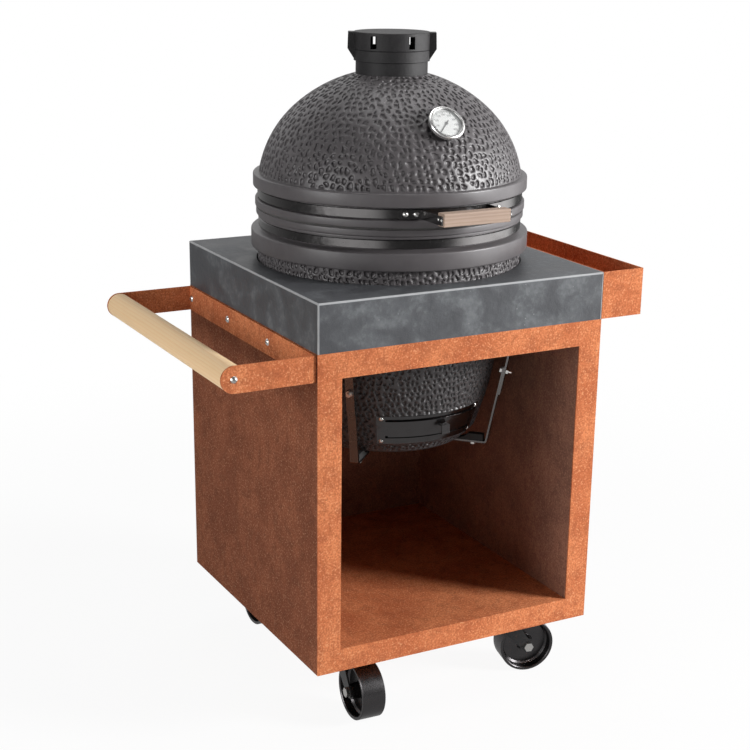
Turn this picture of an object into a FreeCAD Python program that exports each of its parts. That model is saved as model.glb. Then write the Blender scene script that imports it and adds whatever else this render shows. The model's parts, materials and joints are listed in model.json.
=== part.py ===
# Kamado grill table: a steel cabinet on casters carries a worktop, and a ceramic
# grill hangs through the worktop's round hole.
import FreeCAD, Part
import math
import os

V = FreeCAD.Vector
X_AXIS, Y_AXIS, Z_AXIS = V(1, 0, 0), V(0, 1, 0), V(0, 0, 1)
ORIGIN = V(0, 0, 0)

# All sizes are millimetres. The grill's axis is x = y = 0 and the floor is z = 0
# while the pieces are modelled. The front faces -Y.

# Cabinet
TABLE_SIDE = 660.0           # square plan of the cabinet and worktop
CABINET_HEIGHT = 680.0
SHEET = 3.0                  # weathering steel sheet
STILE = 52.0                 # front frame beside the opening
TOP_RAIL = 53.0
BOTTOM_RAIL = 49.5
FIT = 0.3                    # working clearance between pieces that move

# Worktop
WORKTOP_THICKNESS = 100.0
SLAB = 20.0                  # thickness of slab and skirts
WORKTOP_EDGE = 1.5           # small chamfer on the outer edges
HOLE_GAP = 3.0               # worktop hole round the grill

# Side tray
TRAY_WIDTH = 101.0
TRAY_BOLT_PITCH = 220.0

# Push handle
HANDLE_REACH = 171.0         # side panel to the bar's axis
HANDLE_HEIGHT = 54.0
HANDLE_STRIP = 4.0
HANDLE_DROP = 29.0           # worktop's underside to the bar's axis
HANDLE_SETBACK = 5.0         # arms behind the cabinet's front and back faces
BAR_RADIUS = 26.5
BAR_EDGE = 1.5
BRACKET_BOLT_PITCH = 208.0

# Dome-head bolt
DOME_HEAD_RADIUS = 7.5
DOME_HEAD_HEIGHT = 4.5
DOME_SHANK_RADIUS = 4.0
DOME_SHANK_LENGTH = 16.0
DOME_SOCKET = 4.0

# Hex bolt
HEX_FLAT = 13.0              # across the flats
HEX_HEIGHT = 5.3
HEX_SHANK_RADIUS = 4.0
HEX_TAIL = 1.5               # shank beyond the nut
WASHER_FACE = 0.6

# Casters
CASTER_SIDE = 140.0          # kingpins in from the cabinet's sides
CASTER_FRONT = 125.0         # and from its front and back
CASTER_TRAIL = 58.0
CASTER_HEADINGS = {"front_left": -92.0, "front_right": -13.0, "rear_left": 90.0, "rear_right": 38.0}
WHEEL_RADIUS = 62.5
WHEEL_WIDTH = 53.0
WHEEL_RIM = 8.5              # thickness of tread and rim together
WHEEL_EDGE = 1.5             # rounding of the tread's edges
WHEEL_HUB_RADIUS = 17.0
WHEEL_WEB = 10.0
AXLE_RADIUS = 6.0
AXLE_HEX = 19.0
AXLE_FIT = 0.05
FORK_STRIP = 4.0
FORK_SIDE_GAP = 2.0          # wheel to fork leg
FORK_TOP_GAP = 9.7           # wheel to fork crown
FORK_FRONT = 29.0            # crown ahead of and behind the kingpin
FORK_BACK = 23.0
FORK_SHOULDER = 15.0         # depth of the legs before they taper
FORK_EYE = 13.0
CASTER_PLATE_LENGTH = 105.0
CASTER_PLATE_WIDTH = 85.0
CASTER_PLATE = 4.0
CASTER_CORNER = 8.0
CASTER_BOLT_INSET = 12.5
RACE_RADIUS = 33.0
RACE_HEIGHT = 12.0
RACE_EDGE = 3.0
KINGPIN_RADIUS = 7.0
KINGPIN_HEAD = 5.0

# Grill radii
GRILL_RADIUS = 281.0         # base where it passes through the worktop
RING_D_PROUD = 14.0          # thick ring of the base
BASE_BAND_PROUD = -1.5
LIP_PROUD = -0.5             # thin lip above the base band
BASE_RIM_PROUD = 3.0
LID_RIM_PROUD = 5.0
LID_BAND_PROUD = 0.0
RING_A_PROUD = 9.0           # thick ring of the lid
DOME_PROUD = -0.3
WALL = 28.0                  # ceramic wall of the base
DOME_WALL = 26.0
GASKET = 1.65
GASKET_INSET = 2.0
BAND_THICKNESS = 3.5
BAND_EDGE = 1.0
BAND_SPLIT = 6.0             # gap in each band, behind the hinge

# Grill heights, stacked upwards from the worktop's top
NECK_HEIGHT = 28.5
RING_D_HEIGHT = 37.0
BASE_BAND_GROOVE = 6.2
BASE_BAND_HEIGHT = 17.6
LIP_GROOVE = 1.7
LIP_HEIGHT = 5.0
BASE_RIM_GROOVE = 1.4
BASE_RIM_HEIGHT = 12.8
LID_RIM_HEIGHT = 15.8
LID_BAND_GROOVE = 2.2
LID_BAND_HEIGHT = 19.0
RING_A_GROOVE = 4.0
RING_A_HEIGHT = 27.5
DOME_SPRING = 9.7            # dome's widest plane below the thick ring
DOME_DROP = 30.0             # dome lower than its radius
SHOULDER_INSET = 48.7        # centre of its shoulder arc from the axis

# Grill depths, stacked upwards from the base's foot. Below the worktop the base narrows
# in a cone, then in a second cone that the draft door slides on.
BASE_DEPTH = 392.0
NECK_DEPTH = 5.0             # straight neck below the worktop's top
FOOT_ROUND = 31.0            # height of the rounded foot
DOOR_CONE_HEIGHT = 68.0
CONE_ROUND = 31.0            # height of the round between the cones
BASE_FOOT_INSET = 116.0      # radii are this much less than the neck's
DOOR_CONE_LOW_INSET = 82.5
DOOR_CONE_TOP_INSET = 60.5
CONE_BOTTOM_INSET = 53.0

# Draft door
DOOR_DROP = 1.5              # door's middle below its frame's middle
DOOR_WINDOW_SPAN = 19.5      # half angle
DOOR_LAP = 8.0               # door beyond the window, in degrees
DOOR_FRAME_LAP = 14.5        # frame beyond the window
DOOR_SCREW_INSET = 2.5
DOOR_FRAME_HEIGHT = 66.0
DOOR_WINDOW_HEIGHT = 33.0
DOOR_CHANNEL_HEIGHT = 43.0   # between the two rails
DOOR_SHEET = 2.0
DOOR_SEAT = 0.2              # sealant between the frame and the base
DOOR_FIT = 0.4
DOOR_LIP = 5.0
DOOR_RAIL = 1.8
DOOR_RAIL_PROUD = 1.5
DOOR_SCREW_HEAD = 5.0
DOOR_SCREW_SHANK = 2.5
DOOR_SCREW_EDGE = 6.0        # screws from the frame's upper and lower edges
DOOR_TAB_ANGLE = 4.5
DOOR_TAB = 20.0
DOOR_TAB_REACH = 14.0

# Hangers, on the diagonals
HANGER_ANGLE = 45.0
HANGER_WIDTH = 18.0
HANGER_STRIP = 4.0
HANGER_BEND = 3.0            # inner radius of its folds
HANGER_FOOT_GAP = 64.0       # base's foot to the strap's bend
HANGER_FLANGE = 42.0
HANGER_FOOT = 83.0           # length of the foot
HANGER_BRACKET_DROP = 185.0  # worktop's underside to the bracket's lower end
HANGER_OVERLAP = 62.0
LEG_BOLT_INSET = 8.0         # strap's upper end to its bolt
LEG_BOLT_TAIL = 7.0          # shank beyond its nut
FOOT_BOLT_INSET = 28.0       # strap's leg to the foot's bolt
FOOT_BOLT_DEPTH = 9.0        # shank inside the pad
PAD_THICKNESS = 3.0
PAD_HEIGHT = 15.0
PAD_GAP = 5.0                # pad's outer end to the strap's leg

# Fire parts
FIRE_BOX_GAP = 28.0          # base wall to the fire box at its rim
FIRE_BOX_WAIST_GAP = 18.0    # and where the cones meet
FIRE_BOX_TOP = 70.0          # below the worktop's top
FIRE_BOX_WALL = 20.0
FIRE_BOX_FOOT_INSET = 27.0   # its foot inside the base's foot
FIRE_BOX_FOOT_WALL = 14.0
ASH_MOUTH = 62.0             # half width of its opening behind the draft door
ASH_MOUTH_LOW, ASH_MOUTH_HIGH = 8.0, 52.0
GRATE_LEDGE = 68.0           # above the floor of the base
CHARCOAL_GRATE_THICKNESS = 9.0
CHARCOAL_SLOT = 16.0
CHARCOAL_PITCH = 28.0
FIRE_RING_GAP = 13.0         # base wall to the fire ring
FIRE_RING_TOP = 45.0
FIRE_RING_WALL = 20.0
GRATE_GAP = 4.0              # cooking grate inside the fire ring's edge
GRATE_BAR = 5.0
GRATE_PITCH = 20.0
GRATE_TIE = 90.0

# Lid hinge
PIVOT_BACK = 50.0            # pivot behind the grill's neck
PIVOT_RISE = 4.0             # pivot above the joint between the gaskets
PIN_RADIUS = 5.0
PIN_HEAD = 2.5
PIN_FIT = 0.05
HINGE_SHEET = 5.0
HINGE_FOOT_SHEET = 4.0
HINGE_OUTER_X = 47.0         # middle of the lower ears
HINGE_EAR_GAP = 3.0          # between an upper ear and a lower one
HINGE_EYE = 13.0
HINGE_FOOT_LAP = 16.2        # each foot beyond the lower ears' middles
HINGE_BOLT_GAP = 12.2        # upper bracket's bolts beyond its ears' middles
SPRING_WIRE = 1.7            # radius
SPRING_TURNS = 4             # whole turns, besides the angle between the legs
SPRING_PITCH = 4.4
SPRING_INSET = 8.0           # first coil from the bracket's middle
BASE_TIE_GAP = 8.0           # rim to the lower bracket's cross plate
LID_TIE_GAP = 9.0
TIE_SHEET = 4.0

# Vent
VENT_BORE = 58.0
SLEEVE_RADIUS = 72.8
SLEEVE_WALL = 4.5
COLLAR_PROUD = 2.2           # collar outside the sleeve
COLLAR_SEAT = 3.0            # flat ground round the collar
COLLAR_HEIGHT = 26.4
SPIGOT = 26.0                # collar's depth inside the dome
CAP_WALL = 5.8
CAP_HEIGHT = 58.0
CAP_PLATE = 4.0
CAP_RUN = 0.4
CAP_GROOVE = 22.2            # above the cap's lower edge
CAP_LUG_PROUD = 13.0
CAP_LUG_WIDTH = 34.0
CAP_LUG_WIDEST = 24.2        # above the cap's lower edge
CAP_LUG_FOOT = 3.7
CAP_ANGLE = 153.0            # direction of the first lug
VENT_WINDOW_WIDTH = 14.0
VENT_WINDOW_SILL = 26.7      # above the cap's lower edge
VENT_WINDOW_HEIGHT = 25.0

# Thermometer, on the front of the dome
DIAL_ELEVATION = 42.216      # of its axis, in degrees
BEZEL_RADIUS = 38.0
CASE_INSET = 2.0
DIAL_INSET = 2.5
DIAL_THICKNESS = 0.8
LENS = 1.6
CASE_FOOT = 11.0             # radius
CASE_FLOOR = 11.0            # dial's seat above the dome
STEM_RADIUS = 4.0
STEM_LENGTH = 70.0
THERMOMETER_HEIGHT = 17.0
NEEDLE_COLD = 135.0          # turned left of twelve o'clock

# Lid handle
LID_HANDLE_LENGTH = 152.0
LID_HANDLE_REACH = 77.0      # front face from the grill's neck
LID_HANDLE_DEPTH = 24.0
LID_HANDLE_HEIGHT = 26.0
HANDLE_ARM = 3.0
HANDLE_FOOT_ANGLE = 9.5      # from the arm outwards, in degrees
HANDLE_BOLT_ANGLES = (2.3, 6.7)
BRACKET_INSET = 0.6          # bracket within the band's height
BAND_BOLT_RADIUS = 3.0
BAND_BOLT_HEAD = 5.5
BAND_BOLT_LENGTH = 10.0

# Heights and half widths that follow from the sizes above
HALF = TABLE_SIDE / 2
INNER_HALF = HALF - SHEET
OPENING_HALF = HALF - STILE
CROWN_TOP = 2 * WHEEL_RADIUS + FORK_TOP_GAP + FORK_STRIP
RACE_LOW = CROWN_TOP + FIT
CASTER_TOP = RACE_LOW + RACE_HEIGHT + CASTER_PLATE
CABINET_TOP = CASTER_TOP + CABINET_HEIGHT
TOP = CABINET_TOP + WORKTOP_THICKNESS
FLOOR_TOP = CASTER_TOP + BOTTOM_RAIL
OPENING_TOP = CABINET_TOP - TOP_RAIL
CASTER_X = HALF - CASTER_SIDE
CASTER_Y = HALF - CASTER_FRONT

RING_D_TOP = TOP + NECK_HEIGHT + RING_D_HEIGHT
BASE_BAND_LOW = RING_D_TOP + BASE_BAND_GROOVE
BASE_BAND_HIGH = BASE_BAND_LOW + BASE_BAND_HEIGHT
LIP_LOW = BASE_BAND_HIGH + LIP_GROOVE
LIP_HIGH = LIP_LOW + LIP_HEIGHT
BASE_RIM_LOW = LIP_HIGH + BASE_RIM_GROOVE
BASE_RIM_HIGH = BASE_RIM_LOW + BASE_RIM_HEIGHT
JOINT_Z = BASE_RIM_HIGH + GASKET + FIT / 2
LID_RIM_LOW = JOINT_Z + FIT / 2 + GASKET
LID_RIM_HIGH = LID_RIM_LOW + LID_RIM_HEIGHT
LID_BAND_LOW = LID_RIM_HIGH + LID_BAND_GROOVE
LID_BAND_HIGH = LID_BAND_LOW + LID_BAND_HEIGHT
RING_A_LOW = LID_BAND_HIGH + RING_A_GROOVE
RING_A_HIGH = RING_A_LOW + RING_A_HEIGHT
DOME_CENTRE = RING_A_LOW - DOME_SPRING
DOME_RADIUS = GRILL_RADIUS + DOME_PROUD
DOME_HEIGHT = DOME_RADIUS - DOME_DROP
DOME_SHOULDER = DOME_RADIUS - SHOULDER_INSET
BASE_BAND_RADIUS = GRILL_RADIUS + BASE_BAND_PROUD
BASE_RIM_RADIUS = GRILL_RADIUS + BASE_RIM_PROUD
LID_RIM_RADIUS = GRILL_RADIUS + LID_RIM_PROUD
LID_BAND_RADIUS = GRILL_RADIUS + LID_BAND_PROUD
BASE_BORE = GRILL_RADIUS - WALL

BASE_FOOT_RADIUS = GRILL_RADIUS - BASE_FOOT_INSET
DOOR_CONE_LOW_RADIUS = GRILL_RADIUS - DOOR_CONE_LOW_INSET
DOOR_CONE_TOP_RADIUS = GRILL_RADIUS - DOOR_CONE_TOP_INSET
CONE_BOTTOM_RADIUS = GRILL_RADIUS - CONE_BOTTOM_INSET
FIRE_BOX_FOOT = BASE_FOOT_RADIUS - FIRE_BOX_FOOT_INSET
FIRE_BOX_BORE = FIRE_BOX_FOOT - FIRE_BOX_FOOT_WALL
FOOT_Z = TOP - BASE_DEPTH
BASE_FLOOR = FOOT_Z + WALL
DOOR_CONE_LOW = FOOT_Z + FOOT_ROUND
DOOR_CONE_TOP = DOOR_CONE_LOW + DOOR_CONE_HEIGHT
CONE_BOTTOM = DOOR_CONE_TOP + CONE_ROUND
DOOR_MIDDLE = (DOOR_CONE_LOW + DOOR_CONE_TOP) / 2
DOOR_CENTRE = DOOR_MIDDLE - DOOR_DROP
DOOR_SPAN = DOOR_WINDOW_SPAN + DOOR_LAP
DOOR_FRAME_SPAN = DOOR_WINDOW_SPAN + DOOR_FRAME_LAP
DOOR_SCREW_ANGLE = DOOR_FRAME_SPAN - DOOR_SCREW_INSET

HANGER_TOP_RADIUS = GRILL_RADIUS + LID_RIM_PROUD
HANGER_BEND_RADIUS = BASE_FOOT_RADIUS + HANGER_FOOT_GAP
HANGER_FOOT_TIP = HANGER_BEND_RADIUS - HANGER_FOOT
HANGER_FOOT_Z = FOOT_Z - PAD_THICKNESS
HANGER_SLOPE = math.atan2(HANGER_TOP_RADIUS - HANGER_BEND_RADIUS, CABINET_TOP - FOOT_Z)

PIVOT_Y = GRILL_RADIUS + PIVOT_BACK
PIVOT_Z = JOINT_Z + PIVOT_RISE
HINGE_INNER_X = HINGE_OUTER_X - HINGE_SHEET - HINGE_EAR_GAP
COLLAR_RADIUS = SLEEVE_RADIUS + COLLAR_PROUD
CAP_RADIUS = SLEEVE_RADIUS + CAP_RUN + CAP_WALL
CASE_RADIUS = BEZEL_RADIUS - CASE_INSET
DIAL_RADIUS = CASE_RADIUS - DIAL_INSET
LID_HANDLE_FRONT = GRILL_RADIUS + LID_HANDLE_REACH
LID_BAND_MIDDLE = (LID_BAND_LOW + LID_BAND_HIGH) / 2


def box(x0, x1, y0, y1, z0, z1):
    return Part.makeBox(x1 - x0, y1 - y0, z1 - z0, V(x0, y0, z0))


def cylinder(radius, z0, z1, x=0.0, y=0.0):
    return Part.makeCylinder(radius, z1 - z0, V(x, y, z0))


def fuse(shapes):
    whole = shapes[0]
    for shape in shapes[1:]:
        whole = whole.fuse(shape)
    return whole.removeSplitter()


def cut(shape, tools):
    for tool in tools:
        shape = shape.cut(tool)
    return shape


def turn(shape, degrees, centre=ORIGIN, axis=Z_AXIS):
    copy = shape.copy()
    copy.rotate(centre, axis, degrees)
    return copy


def shift(shape, x=0.0, y=0.0, z=0.0):
    copy = shape.copy()
    copy.translate(V(x, y, z))
    return copy


def mirror_x(shape):
    return shape.mirror(ORIGIN, X_AXIS)


def group(shapes):
    solids = []
    for shape in shapes:
        solids.extend(shape.Solids)
    return Part.makeCompound(solids)


def radial(degrees, radius, z=0.0):
    return V(radius * math.cos(math.radians(degrees)), radius * math.sin(math.radians(degrees)), z)


# Middle point of the arc that leaves start along a heading and ends at end
def arc_middle(start, heading, end):
    chord = end - start
    side = (chord - heading * chord.dot(heading)).normalize()
    radius = chord.dot(chord) / (2 * chord.dot(side))
    centre = start + side * radius
    return centre + ((start + end) * 0.5 - centre).normalize() * radius


# An outline in the XZ plane. Each step is (x, z) for a straight run, or
# ((x, z), (x, z)) for an arc through the first point to the second.
def outline(start, steps):
    edges = []
    first = here = V(start[0], 0, start[1])
    for step in steps:
        if isinstance(step[0], tuple):
            middle = V(step[0][0], 0, step[0][1])
            there = V(step[1][0], 0, step[1][1])
            edges.append(Part.Arc(here, middle, there).toShape())
        else:
            there = V(step[0], 0, step[1])
            edges.append(Part.makeLine(here, there))
        here = there
    if here.distanceToPoint(first) > 1e-6:
        edges.append(Part.makeLine(here, first))
    return Part.Face(Part.Wire(edges))


# A round in an outline: the arc step that leaves start along (x, z) and ends at end
def rounded(start, heading, end):
    way = V(heading[0], 0, heading[1]).normalize()
    middle = arc_middle(V(start[0], 0, start[1]), way, V(end[0], 0, end[1]))
    return (middle.x, middle.z), end


def turned(start, steps):
    return outline(start, steps).revolve(ORIGIN, Z_AXIS, 360)


# Part of a turned piece, its middle at the given angle
def sector(start, steps, half_angle, middle):
    face = turn(outline(start, steps), middle - half_angle)
    return face.revolve(ORIGIN, Z_AXIS, 2 * half_angle)


def ring(inner, outer, z0, z1):
    return turned((inner, z0), [(outer, z0), (outer, z1), (inner, z1)])


# A polygon of (y, z) corners, extruded along X
def prism_x(points, x0, x1):
    corners = [V(x0, y, z) for y, z in points]
    return Part.Face(Part.makePolygon(corners + corners[:1])).extrude(V(x1 - x0, 0, 0))


# A polygon of (x, z) corners, extruded along Y and centred on it
def prism_y(points, width):
    corners = [V(x, -width / 2, z) for x, z in points]
    return Part.Face(Part.makePolygon(corners + corners[:1])).extrude(V(0, width, 0))


# Moves a piece modelled round Z so that its Z axis lies along a direction
def aim(shape, position, direction):
    copy = shape.copy()
    frame = FreeCAD.Placement(position, FreeCAD.Rotation(Z_AXIS, direction))
    copy.Placement = frame.multiply(copy.Placement)
    return copy


# A hole to cut: a rod through a place, both ways along a direction
def rod(radius, place, direction, reach=30.0):
    return aim(cylinder(radius, -reach, reach), place, direction)


# Fasteners. The underside of each head is at z = 0 and the shank runs down.

# A ball cap on z = 0 of a given radius and height
def cap(radius, height):
    ball = (radius ** 2 + height ** 2) / (2 * height)
    return Part.makeSphere(ball, V(0, 0, height - ball)).common(cylinder(radius + 1, 0, height + 1))


def dome_bolt():
    socket = hexagon(DOME_SOCKET).extrude(V(0, 0, DOME_HEAD_HEIGHT))
    head = cap(DOME_HEAD_RADIUS, DOME_HEAD_HEIGHT).cut(shift(socket, z=DOME_HEAD_HEIGHT / 2))
    return head.fuse(cylinder(DOME_SHANK_RADIUS, -DOME_SHANK_LENGTH, 0)).removeSplitter()


def hexagon(across_flats):
    corners = [radial(60 * k, across_flats / math.sqrt(3)) for k in range(7)]
    return Part.Face(Part.makePolygon(corners))


# The hexagon stands on a round washer face
def hex_head(across_flats, height):
    face = cylinder(across_flats * 0.47, 0, WASHER_FACE)
    return face.fuse(shift(hexagon(across_flats).extrude(V(0, 0, height - WASHER_FACE)), z=WASHER_FACE))


# A hex bolt whose shank passes through a grip to a nut
def hex_bolt(grip, flats=HEX_FLAT, shank=HEX_SHANK_RADIUS, height=HEX_HEIGHT, tail=HEX_TAIL):
    bolt = hex_head(flats, height).fuse(cylinder(shank, -grip - height - tail, 0))
    nut = turn(shift(hex_head(flats, height), z=grip), 180, axis=X_AXIS)
    return bolt.fuse(nut).removeSplitter()


# Cabinet
def front_frame():
    plate = box(-HALF, HALF, -HALF, -INNER_HALF, CASTER_TOP, CABINET_TOP)
    opening = box(-OPENING_HALF, OPENING_HALF, -HALF - 1, -INNER_HALF + 1, FLOOR_TOP, OPENING_TOP)
    return plate.cut(opening)


def side_panel_left():
    panel = box(-HALF, -INNER_HALF, -INNER_HALF, INNER_HALF, CASTER_TOP, CABINET_TOP)
    return cut(panel, [rod(DOME_SHANK_RADIUS, place, X_AXIS) for place in bracket_bolt_places()])


def side_panel_right():
    return box(INNER_HALF, HALF, -INNER_HALF, INNER_HALF, CASTER_TOP, CABINET_TOP)


def back_panel():
    return box(-HALF, HALF, INNER_HALF, HALF, CASTER_TOP, CABINET_TOP)


def inner_wall_right():
    low, high = CASTER_TOP + SHEET, CABINET_TOP - SHEET
    return box(OPENING_HALF, OPENING_HALF + SHEET, -INNER_HALF, INNER_HALF, low, high)


def inner_wall_left():
    return mirror_x(inner_wall_right())


def shelf_floor():
    return box(-OPENING_HALF, OPENING_HALF, -INNER_HALF, INNER_HALF, FLOOR_TOP - SHEET, FLOOR_TOP)


def base_plate():
    plate = box(-INNER_HALF, INNER_HALF, -INNER_HALF, INNER_HALF, CASTER_TOP, CASTER_TOP + SHEET)
    return cut(plate, [rod(HEX_SHANK_RADIUS, place, Z_AXIS) for place in caster_bolt_places()])


# The round opening lets the hangers' legs and their brackets through
def top_plate():
    plate = box(-INNER_HALF, INNER_HALF, -INNER_HALF, INNER_HALF, CABINET_TOP - SHEET, CABINET_TOP)
    opening = cylinder(HANGER_TOP_RADIUS + HANGER_STRIP, CABINET_TOP - 10, CABINET_TOP + 10)
    flange_hole = rod(HEX_SHANK_RADIUS, V(flange_bolt_radius(), 0, CABINET_TOP), Z_AXIS)
    return cut(plate, [opening] + hanger_copies(flange_hole).Solids)


# Worktop: one block with chamfered edges, split on mitres into the slab and four skirts
def worktop_pieces():
    low = HALF - SLAB
    block = box(-HALF, HALF, -HALF, HALF, CABINET_TOP, TOP)
    sharp = [edge for edge in block.Edges if edge.BoundBox.ZMax > CABINET_TOP + 1]
    block = block.makeChamfer(WORKTOP_EDGE, sharp)
    squares = []
    for half, z in ((low, TOP - SLAB), (HALF, TOP)):
        corners = [V(-half, -half, z), V(half, -half, z), V(half, half, z), V(-half, half, z)]
        squares.append(Part.makePolygon(corners + corners[:1]))
    wedge = Part.makeLoft(squares, True, True)
    hole = cylinder(GRILL_RADIUS + HOLE_GAP, TOP - SLAB - 1, TOP + 1)
    slab = block.common(wedge).cut(hole)
    walls = block.cut(wedge).cut(box(-low, low, -low, low, CABINET_TOP - 1, TOP - SLAB))
    reach = HALF + 10
    front = Part.makePolygon([ORIGIN, V(-reach, -reach, 0), V(reach, -reach, 0), ORIGIN])
    quarter = shift(Part.Face(front).extrude(V(0, 0, WORKTOP_THICKNESS + 2)), z=CABINET_TOP - 1)
    bores = [rod(DOME_SHANK_RADIUS, place, X_AXIS) for place in tray_bolt_places()]
    skirts = [cut(walls.common(turn(quarter, 90 * k)), bores) for k in range(4)]
    return slab, group(skirts)


# Side tray, a folded open box
def tray_bolt_places():
    return [V(HALF + SHEET, TRAY_BOLT_PITCH * k, TOP - WORKTOP_THICKNESS / 2) for k in (-1, 0, 1)]


def side_tray():
    outer = box(HALF, HALF + TRAY_WIDTH, -HALF, HALF, CABINET_TOP, TOP)
    inner = box(HALF + SHEET, HALF + TRAY_WIDTH - SHEET, -HALF + SHEET, HALF - SHEET,
                CABINET_TOP + SHEET, TOP + 1)
    return cut(outer.cut(inner), [rod(DOME_SHANK_RADIUS, place, X_AXIS) for place in tray_bolt_places()])


# Push handle: a strip folded into a U, with rounded arm ends
HANDLE_Z = CABINET_TOP - HANDLE_DROP
BAR_X = -HALF - HANDLE_REACH
ARM_Y = HALF - HANDLE_SETBACK


def bracket_bolt_places():
    return [V(-HALF - HANDLE_STRIP, BRACKET_BOLT_PITCH * k, HANDLE_Z) for k in (-1.5, -0.5, 0.5, 1.5)]


def bar_bolt_places():
    return [(V(BAR_X, side * ARM_Y, HANDLE_Z), Y_AXIS * side) for side in (-1, 1)]


def handle_bracket():
    low, high = HANDLE_Z - HANDLE_HEIGHT / 2, HANDLE_Z + HANDLE_HEIGHT / 2
    back = box(-HALF - HANDLE_STRIP, -HALF, -ARM_Y, ARM_Y, low, high)
    arm = box(BAR_X, -HALF, -ARM_Y, HANDLE_STRIP - ARM_Y, low, high)
    tip = aim(cylinder(HANDLE_HEIGHT / 2, 0, HANDLE_STRIP), V(BAR_X, -ARM_Y, HANDLE_Z), Y_AXIS)
    front_arm = arm.fuse(tip)
    bracket = fuse([back, front_arm, front_arm.mirror(ORIGIN, Y_AXIS)])
    folds = [edge for edge in bracket.Edges
             if edge.BoundBox.ZLength > HANDLE_HEIGHT - 1 and edge.BoundBox.XMin > -HALF - 1e-6]
    bracket = bracket.makeFillet(HANDLE_STRIP * 0.9, folds)
    bores = [rod(DOME_SHANK_RADIUS, place, X_AXIS) for place in bracket_bolt_places()]
    bores += [rod(DOME_SHANK_RADIUS, place, way) for place, way in bar_bolt_places()]
    return cut(bracket, bores)


def handle_bar():
    half = ARM_Y - HANDLE_STRIP
    bar = turned((0, -half), [(BAR_RADIUS - BAR_EDGE, -half), (BAR_RADIUS, BAR_EDGE - half),
                              (BAR_RADIUS, half - BAR_EDGE), (BAR_RADIUS - BAR_EDGE, half), (0, half)])
    bar = aim(bar, V(BAR_X, 0, HANDLE_Z), Y_AXIS)
    bores = [rod(DOME_SHANK_RADIUS, place, way, DOME_SHANK_LENGTH) for place, way in bar_bolt_places()]
    return cut(bar, bores)


def panel_bolts():
    bolt = dome_bolt()
    bolts = [aim(bolt, place, -X_AXIS) for place in bracket_bolt_places()]
    bolts += [aim(bolt, place, way) for place, way in bar_bolt_places()]
    bolts += [aim(bolt, place, X_AXIS) for place in tray_bolt_places()]
    return group(bolts)


# Hangers. One is modelled towards +X and turned to each diagonal.
LEG = HANGER_STRIP / math.cos(HANGER_SLOPE)      # strip's thickness along X
BRACKET_LOW = CABINET_TOP - HANGER_BRACKET_DROP
STRAP_HIGH = BRACKET_LOW + HANGER_OVERLAP
LEG_OUTWARD = V(math.cos(HANGER_SLOPE), 0, -math.sin(HANGER_SLOPE))


def hanger_copies(shape):
    return group([turn(shape, HANGER_ANGLE + 90 * k) for k in range(4)])


# Inner face of the leg at a height
def leg_radius(z):
    return HANGER_TOP_RADIUS - (CABINET_TOP - z) * math.tan(HANGER_SLOPE)


def flange_bolt_radius():
    return HANGER_TOP_RADIUS + HANGER_FLANGE * 0.6


def foot_bolt_radius():
    return leg_radius(HANGER_FOOT_Z) - FOOT_BOLT_INSET


def leg_bolt_place():
    z = STRAP_HIGH - LEG_BOLT_INSET
    return V(leg_radius(z), 0, z)


# Folds a flat strip's prism: rounds its inner and outer corners, given as (x, z)
def folded(prism, inner, outer):
    for corner, radius in ((inner, HANGER_BEND), (outer, HANGER_BEND + HANGER_STRIP)):
        place = V(corner[0], -HANGER_WIDTH / 2, corner[1])
        fold = [edge for edge in prism.Edges if edge.BoundBox.YLength > HANGER_WIDTH - 1
                and edge.distToShape(Part.Vertex(place))[0] < 1e-6]
        prism = prism.makeFillet(radius, fold)
    return prism


# The bracket lies outside the strap where they overlap
def hanger_bracket():
    high = CABINET_TOP - SHEET
    low = high - HANGER_STRIP
    end = HANGER_TOP_RADIUS + HANGER_FLANGE
    tip = leg_radius(BRACKET_LOW) + LEG
    outer, inner = (leg_radius(high) + LEG, high), (leg_radius(low) + 2 * LEG, low)
    bracket = prism_y([outer, (end, high), (end, low), inner, (tip + LEG, BRACKET_LOW),
                       (tip, BRACKET_LOW)], HANGER_WIDTH)
    bracket = folded(bracket, inner, outer)
    return cut(bracket, [rod(HEX_SHANK_RADIUS, leg_bolt_place(), LEG_OUTWARD),
                         rod(HEX_SHANK_RADIUS, V(flange_bolt_radius(), 0, high), Z_AXIS)])


def hanger_strap():
    low = HANGER_FOOT_Z - HANGER_STRIP
    tip = leg_radius(STRAP_HIGH)
    outer, inner = (leg_radius(low) + LEG, low), (leg_radius(HANGER_FOOT_Z), HANGER_FOOT_Z)
    strap = prism_y([(tip, STRAP_HIGH), (tip + LEG, STRAP_HIGH), outer, (HANGER_FOOT_TIP, low),
                     (HANGER_FOOT_TIP, HANGER_FOOT_Z), inner], HANGER_WIDTH)
    strap = folded(strap, inner, outer)
    return cut(strap, [rod(HEX_SHANK_RADIUS, leg_bolt_place(), LEG_OUTWARD),
                       rod(HEX_SHANK_RADIUS, V(foot_bolt_radius(), 0, HANGER_FOOT_Z), Z_AXIS)])


# The pad fills the wedge between the foot and the base's rounded corner
def hanger_pad():
    outer = leg_radius(HANGER_FOOT_Z) - PAD_GAP
    half = HANGER_WIDTH / 2 - 1
    block = box(HANGER_FOOT_TIP + 2, outer, -half, half, HANGER_FOOT_Z, HANGER_FOOT_Z + PAD_HEIGHT)
    pad = block.cut(base_outer())
    bore = rod(HEX_SHANK_RADIUS, V(foot_bolt_radius(), 0, HANGER_FOOT_Z), Z_AXIS, FOOT_BOLT_DEPTH)
    return min(pad.cut(bore).Solids, key=lambda solid: solid.BoundBox.ZMin)


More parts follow.
